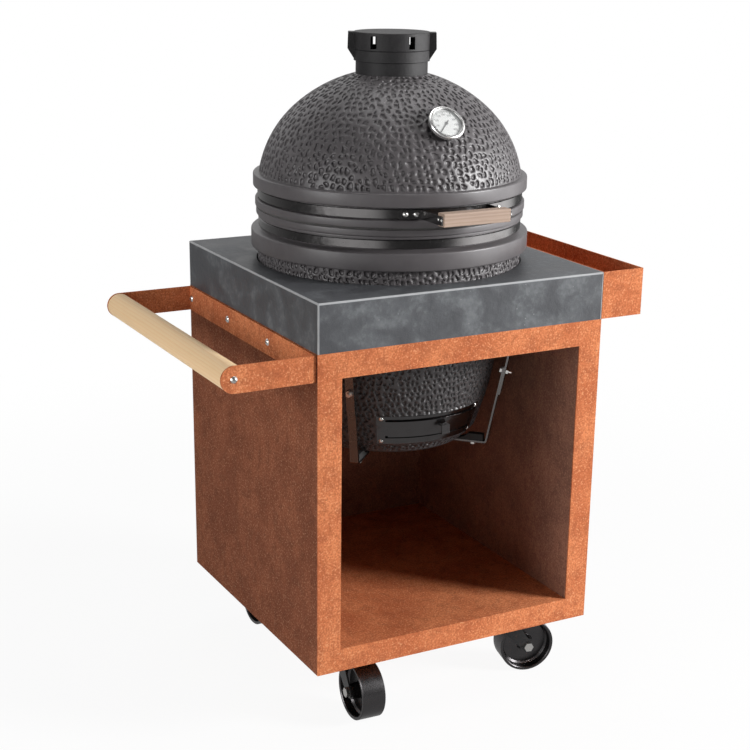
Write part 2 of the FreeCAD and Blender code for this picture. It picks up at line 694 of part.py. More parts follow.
# The leg's bolt has its nut outside, the others have their heads below
def hanger_bolts():
    joint = aim(hex_bolt(2 * HANGER_STRIP, tail=LEG_BOLT_TAIL), leg_bolt_place(), -LEG_OUTWARD)
    grip = HANGER_STRIP + SHEET
    flange = aim(hex_bolt(grip), V(flange_bolt_radius(), 0, CABINET_TOP - grip), -Z_AXIS)
    shank = cylinder(HEX_SHANK_RADIUS, -HANGER_STRIP - FOOT_BOLT_DEPTH, 0)
    foot = hex_head(HEX_FLAT, HEX_HEIGHT).fuse(shank)
    foot = aim(foot.removeSplitter(), V(foot_bolt_radius(), 0, HANGER_FOOT_Z - HANGER_STRIP), -Z_AXIS)
    return group([hanger_copies(piece) for piece in (joint, flange, foot)])


# Casters. Each is modelled with its kingpin on Z and trailing towards +X.
CASTER_PLACES = {"front_left": (-CASTER_X, -CASTER_Y), "front_right": (CASTER_X, -CASTER_Y),
                 "rear_left": (-CASTER_X, CASTER_Y), "rear_right": (CASTER_X, CASTER_Y)}
AXLE_PLACE = V(CASTER_TRAIL, 0, WHEEL_RADIUS)
CASTER_SIGNS = [(1, 1), (-1, 1), (-1, -1), (1, -1)]


# The plate's four holes about its own middle
def plate_hole_places():
    reach_x = CASTER_PLATE_LENGTH / 2 - CASTER_BOLT_INSET
    reach_y = CASTER_PLATE_WIDTH / 2 - CASTER_BOLT_INSET
    return [V(sx * reach_x, sy * reach_y, CASTER_TOP - CASTER_PLATE) for sx, sy in CASTER_SIGNS]


def caster_bolt_places():
    return [hole + V(x, y, 0) for x, y in CASTER_PLACES.values() for hole in plate_hole_places()]


def caster_plate():
    seat = CASTER_TOP - CASTER_PLATE
    plate = box(-CASTER_PLATE_LENGTH / 2, CASTER_PLATE_LENGTH / 2, -CASTER_PLATE_WIDTH / 2,
                CASTER_PLATE_WIDTH / 2, seat, CASTER_TOP)
    plate = plate.makeFillet(CASTER_CORNER, [edge for edge in plate.Edges if edge.BoundBox.ZLength > 1])
    race = turned((0, seat), [(RACE_RADIUS, seat), (RACE_RADIUS, RACE_LOW + RACE_EDGE),
                              (RACE_RADIUS - RACE_EDGE, RACE_LOW), (0, RACE_LOW)])
    head_top = CROWN_TOP - FORK_STRIP - FIT
    head_low = head_top - KINGPIN_HEAD
    pin = cylinder(KINGPIN_RADIUS, head_top - 1, CASTER_TOP - 1)
    head = turned((0, head_top), [(KINGPIN_RADIUS + 5, head_top), (KINGPIN_RADIUS + 3, head_low),
                                  (0, head_low)])
    holes = [rod(HEX_SHANK_RADIUS, place, Z_AXIS) for place in plate_hole_places()]
    return cut(fuse([plate, race, pin, head]), holes)


def caster_fork():
    low = CROWN_TOP - FORK_STRIP
    leg_y = WHEEL_WIDTH / 2 + FORK_SIDE_GAP
    crown = box(-FORK_BACK, FORK_FRONT, -leg_y - FORK_STRIP, leg_y + FORK_STRIP, low, CROWN_TOP)
    # A leg: straight below the crown, then tapering back to the eye round the axle
    shoulder = CROWN_TOP - FORK_SHOULDER
    corners = [V(-FORK_BACK, 0, CROWN_TOP), V(FORK_FRONT, 0, CROWN_TOP), V(FORK_FRONT, 0, shoulder),
               AXLE_PLACE + V(FORK_EYE, 0, 0), AXLE_PLACE - V(FORK_EYE * 0.8, 0, FORK_EYE * 0.6),
               V(-FORK_BACK, 0, shoulder)]
    blade = Part.Face(Part.makePolygon(corners + corners[:1])).extrude(V(0, FORK_STRIP, 0))
    leg = blade.fuse(aim(cylinder(FORK_EYE, 0, FORK_STRIP), AXLE_PLACE, Y_AXIS)).removeSplitter()
    fork = fuse([crown, shift(leg, y=leg_y), shift(leg, y=-leg_y - FORK_STRIP)])
    return cut(fork, [rod(AXLE_RADIUS, AXLE_PLACE, Y_AXIS, 2 * leg_y),
                      cylinder(KINGPIN_RADIUS + PIN_FIT, low - 1, CROWN_TOP + 1)])


# A hollow-sided wheel: tread, rim, web and hub in one turned piece
def caster_wheel():
    half, web = WHEEL_WIDTH / 2, WHEEL_WEB / 2
    hub_half = half + FORK_SIDE_GAP - FIT
    bore = AXLE_RADIUS + AXLE_FIT
    rim = WHEEL_RADIUS - WHEEL_RIM
    side = [(WHEEL_HUB_RADIUS, hub_half), (WHEEL_HUB_RADIUS + 1, web + 2), (WHEEL_HUB_RADIUS + 3, web),
            (rim - 4, web), (rim, web + 4), (rim + WHEEL_EDGE, half - WHEEL_EDGE),
            (rim + 2 * WHEEL_EDGE, half), (WHEEL_RADIUS - WHEEL_EDGE, half),
            (WHEEL_RADIUS, half - WHEEL_EDGE)]
    wheel = turned((bore, -hub_half), [(r, -y) for r, y in side] + side[::-1] + [(bore, hub_half)])
    return aim(wheel, AXLE_PLACE, Y_AXIS)


def caster_axle():
    side = WHEEL_WIDTH / 2 + FORK_SIDE_GAP + FORK_STRIP
    axle = hex_bolt(2 * side, flats=AXLE_HEX, shank=AXLE_RADIUS, height=7.5)
    return aim(axle, AXLE_PLACE - V(0, side, 0), -Y_AXIS)


def place_caster(shape, corner):
    x, y = CASTER_PLACES[corner]
    return shift(turn(shape, CASTER_HEADINGS[corner]), x, y)


def caster_plates():
    plate = caster_plate()
    return group([shift(plate, x, y) for x, y in CASTER_PLACES.values()])


def caster_bolts():
    bolt = hex_bolt(CASTER_PLATE + SHEET)
    return group([aim(bolt, place, -Z_AXIS) for place in caster_bolt_places()])


# Grill base. Its outer surface, as a filled solid from the foot to the thick ring:
def base_outer():
    foot, low = (BASE_FOOT_RADIUS, FOOT_Z), (DOOR_CONE_LOW_RADIUS, DOOR_CONE_LOW)
    high, waist = (DOOR_CONE_TOP_RADIUS, DOOR_CONE_TOP), (CONE_BOTTOM_RADIUS, CONE_BOTTOM)
    cone_way = (high[0] - low[0], high[1] - low[1])
    return turned((0, FOOT_Z), [foot, rounded(foot, (1, 0), low), high, rounded(high, cone_way, waist),
                                (GRILL_RADIUS, TOP - NECK_DEPTH), (GRILL_RADIUS, TOP + NECK_HEIGHT),
                                (0, TOP + NECK_HEIGHT)])


# The inside follows the outside, a wall's thickness in
def base_hollow():
    foot = (BASE_FOOT_RADIUS - WALL * 0.8, BASE_FLOOR)
    low = (DOOR_CONE_LOW_RADIUS - WALL, DOOR_CONE_LOW + WALL * 0.8)
    waist = (CONE_BOTTOM_RADIUS - WALL, CONE_BOTTOM)
    return turned((0, BASE_FLOOR), [foot, rounded(foot, (1, 0), low), waist, (BASE_BORE, TOP - NECK_DEPTH),
                                    (BASE_BORE, LID_RIM_HIGH), (0, LID_RIM_HIGH)])


# Thick ring, seat of the band, thin lip and rim, from the neck upwards
def base_rings():
    thick = GRILL_RADIUS + RING_D_PROUD
    seat = BASE_BAND_RADIUS - BAND_THICKNESS
    lip = GRILL_RADIUS + LIP_PROUD
    neck_top = TOP + NECK_HEIGHT
    return turned((BASE_BORE, neck_top - 8), [
        (GRILL_RADIUS, neck_top - 8), (GRILL_RADIUS, neck_top),
        (thick - 4, neck_top + 2), (thick - 1, neck_top + 4.5), (thick, neck_top + 8.5),
        (thick, RING_D_TOP - 3), (thick - 1, RING_D_TOP - 1), (thick - 3.5, RING_D_TOP),
        (BASE_BAND_RADIUS + 0.5, RING_D_TOP + 2.5), (seat, BASE_BAND_LOW - 1.5), (seat, BASE_BAND_HIGH + 1),
        (lip, LIP_LOW), (lip, LIP_HIGH), (lip - 2, LIP_HIGH + 0.7), (BASE_RIM_RADIUS, BASE_RIM_LOW),
        (BASE_RIM_RADIUS, BASE_RIM_HIGH - 1.5), (BASE_RIM_RADIUS - 1.5, BASE_RIM_HIGH),
        (BASE_BORE + 2, BASE_RIM_HIGH), (BASE_BORE, BASE_RIM_HIGH - 2)])


def base_shell():
    shell = base_outer().fuse(base_rings()).removeSplitter().cut(base_hollow())
    half = DOOR_CONE_TOP_RADIUS * math.sin(math.radians(DOOR_WINDOW_SPAN))
    return shell.cut(box(-half, half, -CONE_BOTTOM_RADIUS, -BASE_FOOT_RADIUS / 2, WINDOW_LOW, WINDOW_HIGH))


# A split steel strip round a shell
def band(radius, low, high):
    seat = radius - BAND_THICKNESS
    edge = radius - BAND_EDGE
    strip = turned((seat, low), [(edge, low), (radius, low + BAND_EDGE), (radius, high - BAND_EDGE),
                                 (edge, high), (seat, high)])
    return strip.cut(box(-BAND_SPLIT / 2, BAND_SPLIT / 2, seat - 10, radius + 1, low - 1, high + 1))


def base_band():
    return band(BASE_BAND_RADIUS, BASE_BAND_LOW, BASE_BAND_HIGH)


def gasket(low):
    return ring(BASE_BORE + GASKET_INSET + 1, BASE_RIM_RADIUS - GASKET_INSET, low, low + GASKET)


# Fire parts, stacked inside the base
def fire_box():
    top = TOP - FIRE_BOX_TOP
    waist = CONE_BOTTOM_RADIUS - WALL - FIRE_BOX_WAIST_GAP
    rim = BASE_BORE - FIRE_BOX_GAP
    ledge = BASE_FLOOR + GRATE_LEDGE
    pot = turned((FIRE_BOX_BORE, BASE_FLOOR), [
        (FIRE_BOX_FOOT, BASE_FLOOR), (FIRE_BOX_FOOT + 14, BASE_FLOOR + 22), (waist, CONE_BOTTOM),
        (rim, top), (rim - FIRE_BOX_WALL, top), (waist - FIRE_BOX_WALL, CONE_BOTTOM),
        (charcoal_grate_radius() + 4, ledge), (FIRE_BOX_BORE, ledge)])
    mouth = box(-ASH_MOUTH, ASH_MOUTH, -rim, -FIRE_BOX_BORE / 2, BASE_FLOOR + ASH_MOUTH_LOW,
                BASE_FLOOR + ASH_MOUTH_HIGH)
    return pot.cut(mouth)


def charcoal_grate_radius():
    return FIRE_BOX_BORE + 22


def charcoal_grate():
    low = BASE_FLOOR + GRATE_LEDGE
    radius = charcoal_grate_radius()
    plate = cylinder(radius, low, low + CHARCOAL_GRATE_THICKNESS)
    rows = int((radius - CHARCOAL_SLOT) / CHARCOAL_PITCH)
    slots = []
    for row in range(-rows, rows + 1):
        y = CHARCOAL_PITCH * row
        half = math.sqrt((radius - 14) ** 2 - y ** 2) - 6
        for x0, x1 in ((-half, -6), (6, half)):
            slots.append(box(x0, x1, y - CHARCOAL_SLOT / 2, y + CHARCOAL_SLOT / 2, low - 1, low + 20))
    return cut(plate, slots)


def fire_ring():
    outer = BASE_BORE - FIRE_RING_GAP
    inner = outer - FIRE_RING_WALL
    low, high = TOP - FIRE_BOX_TOP, TOP + FIRE_RING_TOP
    return turned((inner - 8, low), [(outer - 15, low), (outer, low + 30), (outer, high - 2),
                                     (outer - 2, high), (inner, high), (inner, low + 24)])


# Round grate: a hoop, two ties and parallel bars
def cooking_grate():
    low = TOP + FIRE_RING_TOP
    radius = BASE_BORE - FIRE_RING_GAP - GRATE_GAP
    hoop = ring(radius - GRATE_BAR, radius, low, low + GRATE_BAR)
    disc = cylinder(radius - 2, low, low + 2 * GRATE_BAR)
    count = int((radius - 3 * GRATE_BAR) / GRATE_PITCH)
    half = GRATE_BAR / 2
    across = [GRATE_PITCH * k for k in range(-count, count + 1)]
    bars = [box(x - half, x + half, -radius, radius, low + half, low + 3 * half) for x in across]
    tie = box(-radius, radius, GRATE_TIE - half, GRATE_TIE + half, low, low + GRATE_BAR)
    ties = [tie, turn(tie, 180)]
    return fuse([hoop] + [bar.common(disc) for bar in ties + bars])


# Draft door. A strip of the cone between two heights, its faces off the base by two distances:
def cone_radius(z):
    slope = (DOOR_CONE_TOP_RADIUS - DOOR_CONE_LOW_RADIUS) / DOOR_CONE_HEIGHT
    return DOOR_CONE_LOW_RADIUS + (z - DOOR_CONE_LOW) * slope


def cone_strip(inner, outer, low, high, half_angle):
    return sector((cone_radius(low) + inner, low), [(cone_radius(low) + outer, low),
                                                    (cone_radius(high) + outer, high),
                                                    (cone_radius(high) + inner, high)], half_angle, -90)


FRAME_LOW = DOOR_MIDDLE - DOOR_FRAME_HEIGHT / 2
FRAME_HIGH = DOOR_MIDDLE + DOOR_FRAME_HEIGHT / 2
WINDOW_LOW = DOOR_CENTRE - DOOR_WINDOW_HEIGHT / 2
WINDOW_HIGH = DOOR_CENTRE + DOOR_WINDOW_HEIGHT / 2
CHANNEL_LOW = DOOR_CENTRE - DOOR_CHANNEL_HEIGHT / 2
CHANNEL_HIGH = DOOR_CENTRE + DOOR_CHANNEL_HEIGHT / 2


def door_screw_places():
    tilt = math.atan2(DOOR_CONE_TOP_RADIUS - DOOR_CONE_LOW_RADIUS, DOOR_CONE_HEIGHT)
    places = []
    for z in (FRAME_LOW + DOOR_SCREW_EDGE, FRAME_HIGH - DOOR_SCREW_EDGE):
        for side in (-1, 1):
            angle = -90 + side * DOOR_SCREW_ANGLE
            normal = radial(angle, math.cos(tilt)) - V(0, 0, math.sin(tilt))
            places.append((radial(angle, cone_radius(z) + DOOR_SHEET + 0.1, z), normal))
    return places


# Frame plate with the window, and two rails that hook over the door's edges
def door_frame():
    plate = cone_strip(DOOR_SEAT, DOOR_SHEET, FRAME_LOW, FRAME_HIGH, DOOR_FRAME_SPAN)
    window = cone_strip(-20, 20, WINDOW_LOW, WINDOW_HIGH, DOOR_WINDOW_SPAN)
    hook = DOOR_SHEET + 2 * DOOR_FIT + DOOR_SHEET
    edge = hook + DOOR_RAIL_PROUD
    span = DOOR_SCREW_ANGLE - DOOR_SCREW_INSET
    rails = [cone_strip(DOOR_SHEET, edge, CHANNEL_LOW - DOOR_RAIL, CHANNEL_LOW, span),
             cone_strip(hook, edge, CHANNEL_LOW - DOOR_RAIL, CHANNEL_LOW + DOOR_LIP, span),
             cone_strip(DOOR_SHEET, edge, CHANNEL_HIGH, CHANNEL_HIGH + DOOR_RAIL, span),
             cone_strip(hook, edge, CHANNEL_HIGH - DOOR_LIP, CHANNEL_HIGH + DOOR_RAIL, span)]
    frame = fuse([plate.cut(window)] + rails)
    return cut(frame, [rod(DOOR_SCREW_SHANK, place, way) for place, way in door_screw_places()])


def door_screws():
    screw = cap(DOOR_SCREW_HEAD, 2.6).fuse(cylinder(DOOR_SCREW_SHANK, -12, 0)).removeSplitter()
    return group([aim(screw, place, way) for place, way in door_screw_places()])


def draft_door():
    inner = DOOR_SHEET + DOOR_FIT
    outer = inner + DOOR_SHEET
    panel = cone_strip(inner, outer, CHANNEL_LOW + DOOR_FIT, CHANNEL_HIGH - DOOR_FIT, DOOR_SPAN)
    # The tab leaves the panel as a short shelf and bends down to a square end
    high = DOOR_CENTRE + DOOR_TAB / 2
    face = -cone_radius(high) - outer
    front = face - DOOR_TAB_REACH
    half = DOOR_TAB / 2
    shelf = box(-half, half, front, face + 1.5, high - DOOR_SHEET, high)
    plate = box(-half, half, front, front + DOOR_SHEET, high - DOOR_TAB, high)
    tab = turn(shelf.fuse(plate).removeSplitter(), DOOR_TAB_ANGLE)
    return panel.fuse(tab).removeSplitter()


# Hinge. The lower bracket is on the base band, the upper one on the lid band.
PIVOT = V(0, PIVOT_Y, PIVOT_Z)


def hinge_ear(points, middle_x):
    x0 = middle_x - HINGE_SHEET / 2
    eye = aim(cylinder(HINGE_EYE, 0, HINGE_SHEET), PIVOT + V(x0, 0, 0), X_AXIS)
    return prism_x(points, x0, x0 + HINGE_SHEET).fuse(eye).removeSplitter()


def hinge_foot(radius, low, high):
    outer = radius + HINGE_FOOT_SHEET
    span = math.degrees(math.asin((HINGE_OUTER_X + HINGE_FOOT_LAP) / radius))
    return sector((radius, low), [(outer, low), (outer, high), (radius, high)], span, 90)


# Where an ear meets the band
def ear_start(radius, x):
    return math.sqrt(radius ** 2 - x ** 2) + 0.5


def hinge_base():
    start = ear_start(BASE_BAND_RADIUS, HINGE_OUTER_X)
    clear = BASE_RIM_RADIUS + 4
    low, high = BASE_BAND_LOW, BASE_BAND_HIGH
    ear = hinge_ear([(start, low + 1), (PIVOT_Y, PIVOT_Z - HINGE_EYE), (PIVOT_Y + HINGE_EYE, PIVOT_Z),
                     (PIVOT_Y - HINGE_EYE, PIVOT_Z), (clear + 8, PIVOT_Z - 4), (clear, high + 4),
                     (start, high - 1)], HINGE_OUTER_X)
    tie_y = BASE_RIM_RADIUS + BASE_TIE_GAP
    tie = box(-HINGE_OUTER_X, HINGE_OUTER_X, tie_y, tie_y + TIE_SHEET, high - 10, high + 4)
    bracket = fuse([hinge_foot(BASE_BAND_RADIUS, low, high), ear, mirror_x(ear), tie])
    return bracket.cut(rod(PIN_RADIUS, PIVOT, X_AXIS, 2 * HINGE_OUTER_X))


def hinge_arm():
    start = ear_start(LID_BAND_RADIUS, HINGE_INNER_X)
    clear = LID_RIM_RADIUS + 3
    low, high = LID_BAND_LOW, LID_BAND_HIGH
    ear = hinge_ear([(start, low + 1), (start, high - 1), (clear + 14, high - 1),
                     (PIVOT_Y + HINGE_EYE, PIVOT_Z), (PIVOT_Y - HINGE_EYE, PIVOT_Z), (clear, low + 1)],
                    HINGE_INNER_X)
    tie_y = LID_RIM_RADIUS + LID_TIE_GAP
    tie = box(-HINGE_INNER_X, HINGE_INNER_X, tie_y, tie_y + TIE_SHEET, low + 6, high - 3)
    bracket = fuse([hinge_foot(LID_BAND_RADIUS, low, high), ear, mirror_x(ear), tie])
    bore = rod(PIN_RADIUS + PIN_FIT, PIVOT, X_AXIS, 2 * HINGE_OUTER_X)
    return cut(bracket, [bore] + lid_bolt_bores())


def hinge_pin():
    outer = HINGE_OUTER_X + HINGE_SHEET / 2
    pin = cylinder(PIN_RADIUS, -outer - 2, outer + 2)
    head = cylinder(PIN_RADIUS + PIN_HEAD, outer, outer + 3)
    return aim(fuse([pin, head, turn(head, 180, axis=X_AXIS)]), PIVOT, X_AXIS)


# Two arcs that leave the first point along one heading and reach the second along the other
def biarc(p0, t0, p1, t1):
    chord = p1 - p0
    both = t0 + t1
    a = 4 - both.dot(both)
    b = 2 * chord.dot(both)
    reach = (-b + math.sqrt(b * b + 4 * a * chord.dot(chord))) / (2 * a)
    q0, q1 = p0 + t0 * reach, p1 - t1 * reach
    joint = (q0 + q1) * 0.5
    return [Part.Arc(p0, arc_middle(p0, t0, joint), joint).toShape(),
            Part.Arc(joint, arc_middle(joint, (q1 - q0).normalize(), p1), p1).toShape()]


# Tangent arcs along a helix round X between two angles, two arcs to about a quarter turn
def helix_edges(radius, first, last):
    lead = SPRING_PITCH / (2 * math.pi)

    def spot(angle):
        return V(SPRING_INSET + lead * (angle - first), radius * math.cos(angle), radius * math.sin(angle))

    def heading(angle):
        return V(lead, -radius * math.sin(angle), radius * math.cos(angle)).normalize()

    count = math.ceil((last - first) / (math.pi / 2))
    angles = [first + (last - first) * k / count for k in range(count + 1)]
    edges = []
    for here, there in zip(angles, angles[1:]):
        edges.extend(biarc(spot(here), heading(here), spot(there), heading(there)))
    return edges


# A torsion spring round X: its lower leg bears on the lower cross plate, its upper leg on the upper one
def hinge_spring():
    radius = PIN_RADIUS + FIT + SPRING_WIRE
    seat = TIE_SHEET + FIT + SPRING_WIRE - PIVOT_Y
    low_y, low_z = BASE_RIM_RADIUS + BASE_TIE_GAP + seat, BASE_BAND_HIGH - PIVOT_Z
    high_y, high_z = LID_RIM_RADIUS + LID_TIE_GAP + seat, LID_BAND_MIDDLE - PIVOT_Z
    low_leg = math.sqrt(low_y ** 2 + low_z ** 2 - radius ** 2)
    high_leg = math.sqrt(high_y ** 2 + high_z ** 2 - radius ** 2)
    first = math.atan2(low_z, low_y) + math.atan2(low_leg, radius)
    last = math.atan2(high_z, high_y) - math.atan2(high_leg, radius)
    turns = SPRING_TURNS + math.ceil((first - last) / (2 * math.pi))
    coil = helix_edges(radius, first, last + 2 * math.pi * turns)
    start, start_way = coil[0].valueAt(coil[0].FirstParameter), coil[0].tangentAt(coil[0].FirstParameter)
    end, end_way = coil[-1].valueAt(coil[-1].LastParameter), coil[-1].tangentAt(coil[-1].LastParameter)
    tip = start - start_way * low_leg
    path = Part.Wire([Part.makeLine(tip, start)] + coil + [Part.makeLine(end, end + end_way * high_leg)])
    section = Part.Wire(Part.Circle(tip, start_way, SPRING_WIRE).toShape())
    spring = path.makePipeShell([section], True, False)
    print("spring: gap between coils %.2f, volume over section times length %.4f" % (
        SPRING_PITCH - 2 * SPRING_WIRE, spring.Volume / (math.pi * SPRING_WIRE ** 2 * path.Length)))
    return spring


def hinge_springs():
    spring = shift(hinge_spring(), 0, PIVOT_Y, PIVOT_Z)
    return group([spring, mirror_x(spring)])


# Lid. The dome's outline is a shoulder arc, then a crown arc centred on the axis.
# Both walls share the two centres, so the wall has one thickness.
def dome_centres():
    inward = DOME_RADIUS - DOME_SHOULDER
    crown = (inward ** 2 + DOME_HEIGHT ** 2 - DOME_SHOULDER ** 2) / (2 * (DOME_HEIGHT - DOME_SHOULDER))
    return V(inward, 0, DOME_CENTRE), V(0, 0, DOME_CENTRE + DOME_HEIGHT - crown), crown


def dome_z(radius, wall=0.0):
    crown_centre, crown = dome_centres()[1:]
    return crown_centre.z + math.sqrt((crown - wall) ** 2 - radius ** 2)


def shoulder_radius(z, wall=0.0):
    centre = dome_centres()[0]
    return centre.x + math.sqrt((DOME_SHOULDER - wall) ** 2 - (z - centre.z) ** 2)


def arc_about(centre, start, end):
    middle = centre + ((start + end) * 0.5 - centre).normalize() * (start - centre).Length
    return (middle.x, middle.z)


# The wall from a height on the shoulder to a radius on the crown: three points and the two arcs' middles
def dome_wall(z, radius, wall=0.0):
    shoulder_centre, crown_centre, crown = dome_centres()
    start = V(shoulder_radius(z, wall), 0, z)
    meet = crown_centre + (shoulder_centre - crown_centre).normalize() * (crown - wall)
    end = V(radius, 0, dome_z(radius, wall))
    points = [(spot.x, spot.z) for spot in (start, meet, end)]
    return points, arc_about(shoulder_centre, start, meet), arc_about(crown_centre, meet, end)


def lid_shell():
    seat = COLLAR_RADIUS + COLLAR_SEAT
    throat = VENT_BORE + SLEEVE_WALL
    thick = GRILL_RADIUS + RING_A_PROUD
    band_seat = LID_BAND_RADIUS - BAND_THICKNESS
    outside, shoulder_mid, crown_mid = dome_wall(RING_A_HIGH, seat)
    inside, shoulder_in, crown_in = dome_wall(RING_A_LOW, throat, DOME_WALL)
    shell = turned((BASE_BORE, LID_RIM_LOW), [
        (LID_RIM_RADIUS - 2, LID_RIM_LOW), (LID_RIM_RADIUS, LID_RIM_LOW + 2),
        (LID_RIM_RADIUS, LID_RIM_HIGH - 2), (LID_RIM_RADIUS - 2, LID_RIM_HIGH),
        (band_seat, LID_BAND_LOW - 1), (band_seat, LID_BAND_HIGH + 1),
        (LID_BAND_RADIUS + 2, RING_A_LOW - 1.5), (thick - 3, RING_A_LOW), (thick - 0.8, RING_A_LOW + 1),
        (thick, RING_A_LOW + 3), (thick, RING_A_HIGH - 3.5), (thick - 1, RING_A_HIGH - 1),
        (thick - 3.5, RING_A_HIGH), outside[0], (shoulder_mid, outside[1]), (crown_mid, outside[2]),
        (throat, outside[2][1]), inside[2], (crown_in, inside[1]), (shoulder_in, inside[0])])
    return shell.cut(rod(STEM_RADIUS, *dial_axis(), 2 * DOME_WALL))


def lid_band():
    return cut(band(LID_BAND_RADIUS, LID_BAND_LOW, LID_BAND_HIGH), lid_bolt_bores())


# Vent
VENT_SEAT = dome_z(COLLAR_RADIUS + COLLAR_SEAT)
COLLAR_TOP = VENT_SEAT + COLLAR_HEIGHT
CAP_LOW = COLLAR_TOP + FIT
CAP_TOP = CAP_LOW + CAP_HEIGHT
SLEEVE_TOP = CAP_TOP - CAP_PLATE - CAP_RUN


def vent_windows(inner, outer):
    sill = CAP_LOW + VENT_WINDOW_SILL
    half = VENT_WINDOW_WIDTH / 2
    window = box(inner, outer, -half, half, sill, sill + VENT_WINDOW_HEIGHT)
    return [turn(window, CAP_ANGLE + offset) for offset in (60, 120, 240, 300)]


# Spigot in the dome, collar on it, and the sleeve that the cap turns on
def vent_collar():
    inner = SLEEVE_RADIUS - SLEEVE_WALL
    spigot = VENT_BORE + SLEEVE_WALL
    collar = turned((VENT_BORE, VENT_SEAT - SPIGOT), [
        (spigot, VENT_SEAT - SPIGOT), (spigot, VENT_SEAT), (COLLAR_RADIUS, VENT_SEAT),
        (COLLAR_RADIUS, COLLAR_TOP - 1), (COLLAR_RADIUS - 1, COLLAR_TOP), (SLEEVE_RADIUS, COLLAR_TOP),
        (SLEEVE_RADIUS, SLEEVE_TOP), (inner, SLEEVE_TOP), (inner, COLLAR_TOP - 8),
        (VENT_BORE, VENT_SEAT + 4)])
    return cut(collar, vent_windows(inner - 10, SLEEVE_RADIUS + 5))


def vent_cap():
    inner = SLEEVE_RADIUS + CAP_RUN
    groove = CAP_LOW + CAP_GROOVE
    wall = turned((inner, CAP_LOW), [
        (CAP_RADIUS, CAP_LOW), (CAP_RADIUS, groove - 1), (CAP_RADIUS - 1, groove),
        (CAP_RADIUS, groove + 1), (CAP_RADIUS, CAP_TOP - 1), (CAP_RADIUS - 1, CAP_TOP), (0, CAP_TOP),
        (0, CAP_TOP - CAP_PLATE), (inner, CAP_TOP - CAP_PLATE)])
    proud = CAP_RADIUS + CAP_LUG_PROUD
    root = CAP_RADIUS - CAP_WALL * 0.7
    foot = CAP_LOW + CAP_LUG_FOOT
    lug = prism_y([(root, CAP_TOP - 1), (proud - 1, CAP_TOP - 1), (proud, CAP_LOW + CAP_LUG_WIDEST),
                   (CAP_RADIUS - 0.5, foot), (root, foot)], CAP_LUG_WIDTH)
    cap_body = fuse([wall, turn(lug, CAP_ANGLE), turn(lug, CAP_ANGLE + 180)])
    return cut(cap_body, vent_windows(inner - 10, proud + 5))


# Thermometer pieces, modelled along Z from the dome's surface, then aimed
def dial_axis():
    elevation = math.radians(DIAL_ELEVATION)
    way = V(math.cos(elevation), 0, math.sin(elevation))
    spot = dome_centres()[0] + way * DOME_SHOULDER
    return V(0, -spot.x, spot.z), V(0, -way.x, way.z)


LENS_TOP = THERMOMETER_HEIGHT - 1.4
LENS_LOW = LENS_TOP - LENS
SHAFT_RADIUS = 1.1


def thermometer_case():
    wall, shaft_bore = DIAL_RADIUS + 0.5, SHAFT_RADIUS + 0.5
    cup = turned((0, 0), [
        (CASE_FOOT, 0), (CASE_FOOT, 2.5), (CASE_RADIUS - 2, 2.5), (CASE_RADIUS, 4.5),
        (CASE_RADIUS, LENS_LOW), (wall, LENS_LOW), (wall, CASE_FLOOR), (shaft_bore, CASE_FLOOR),
        (shaft_bore, 8), (0, 8)])
    stem = turned((0, -STEM_LENGTH), [(STEM_RADIUS / 2, -STEM_LENGTH), (STEM_RADIUS, 4 - STEM_LENGTH),
                                      (STEM_RADIUS, 0.5), (0, 0.5)])
    return aim(cup.fuse(stem).removeSplitter(), *dial_axis())


def thermometer_bezel():
    top = THERMOMETER_HEIGHT
    wall = DIAL_RADIUS + 0.5
    rim = turned((CASE_RADIUS, 8), [
        (BEZEL_RADIUS, 8), (BEZEL_RADIUS, top - 3), (BEZEL_RADIUS - 0.9, top - 0.9),
        (BEZEL_RADIUS - 3, top), (DIAL_RADIUS - 1, top), (DIAL_RADIUS - 2, top - 1),
        (DIAL_RADIUS - 2, LENS_TOP), (wall, LENS_TOP), (wall, LENS_LOW), (CASE_RADIUS, LENS_LOW)])
    return aim(rim, *dial_axis())


def thermometer_dial():
    dial = ring(SHAFT_RADIUS + 0.3, DIAL_RADIUS, CASE_FLOOR, CASE_FLOOR + DIAL_THICKNESS)
    return aim(dial, *dial_axis())


def thermometer_lens():
    return aim(cylinder(DIAL_RADIUS + 0.5, LENS_LOW, LENS_TOP), *dial_axis())


def thermometer_needle():
    low = CASE_FLOOR + DIAL_THICKNESS + 0.6
    length = DIAL_RADIUS - 2.5
    blade = box(-1.1, 1.1, -9, length - 4, low, low + 0.6)
    corners = [V(-1.1, length - 4, low), V(1.1, length - 4, low), V(0, length, low)]
    tip = Part.Face(Part.makePolygon(corners + corners[:1])).extrude(V(0, 0, 0.6))
    hub = cylinder(3.2, low, low + 0.8)
    shaft = cylinder(SHAFT_RADIUS, 9, low + 0.2)
    return aim(turn(fuse([blade, tip, hub, shaft]), NEEDLE_COLD), *dial_axis())


# Lid handle: a wooden block between two bent brackets on the band
HANDLE_X = LID_HANDLE_LENGTH / 2
FOOT_INNER = math.degrees(math.asin(HANDLE_X / (LID_BAND_RADIUS + HANDLE_ARM)))


def lid_bolt_angles():
    front = [-90 + side * (FOOT_INNER + angle) for side in (-1, 1) for angle in HANDLE_BOLT_ANGLES]
    rear = math.degrees(math.asin((HINGE_INNER_X + HINGE_BOLT_GAP) / LID_BAND_RADIUS))
    return front + [90 - rear, 90 + rear]


def lid_bolt_bores():
    return [rod(BAND_BOLT_RADIUS, radial(angle, LID_BAND_RADIUS, LID_BAND_MIDDLE), radial(angle, 1))
            for angle in lid_bolt_angles()]


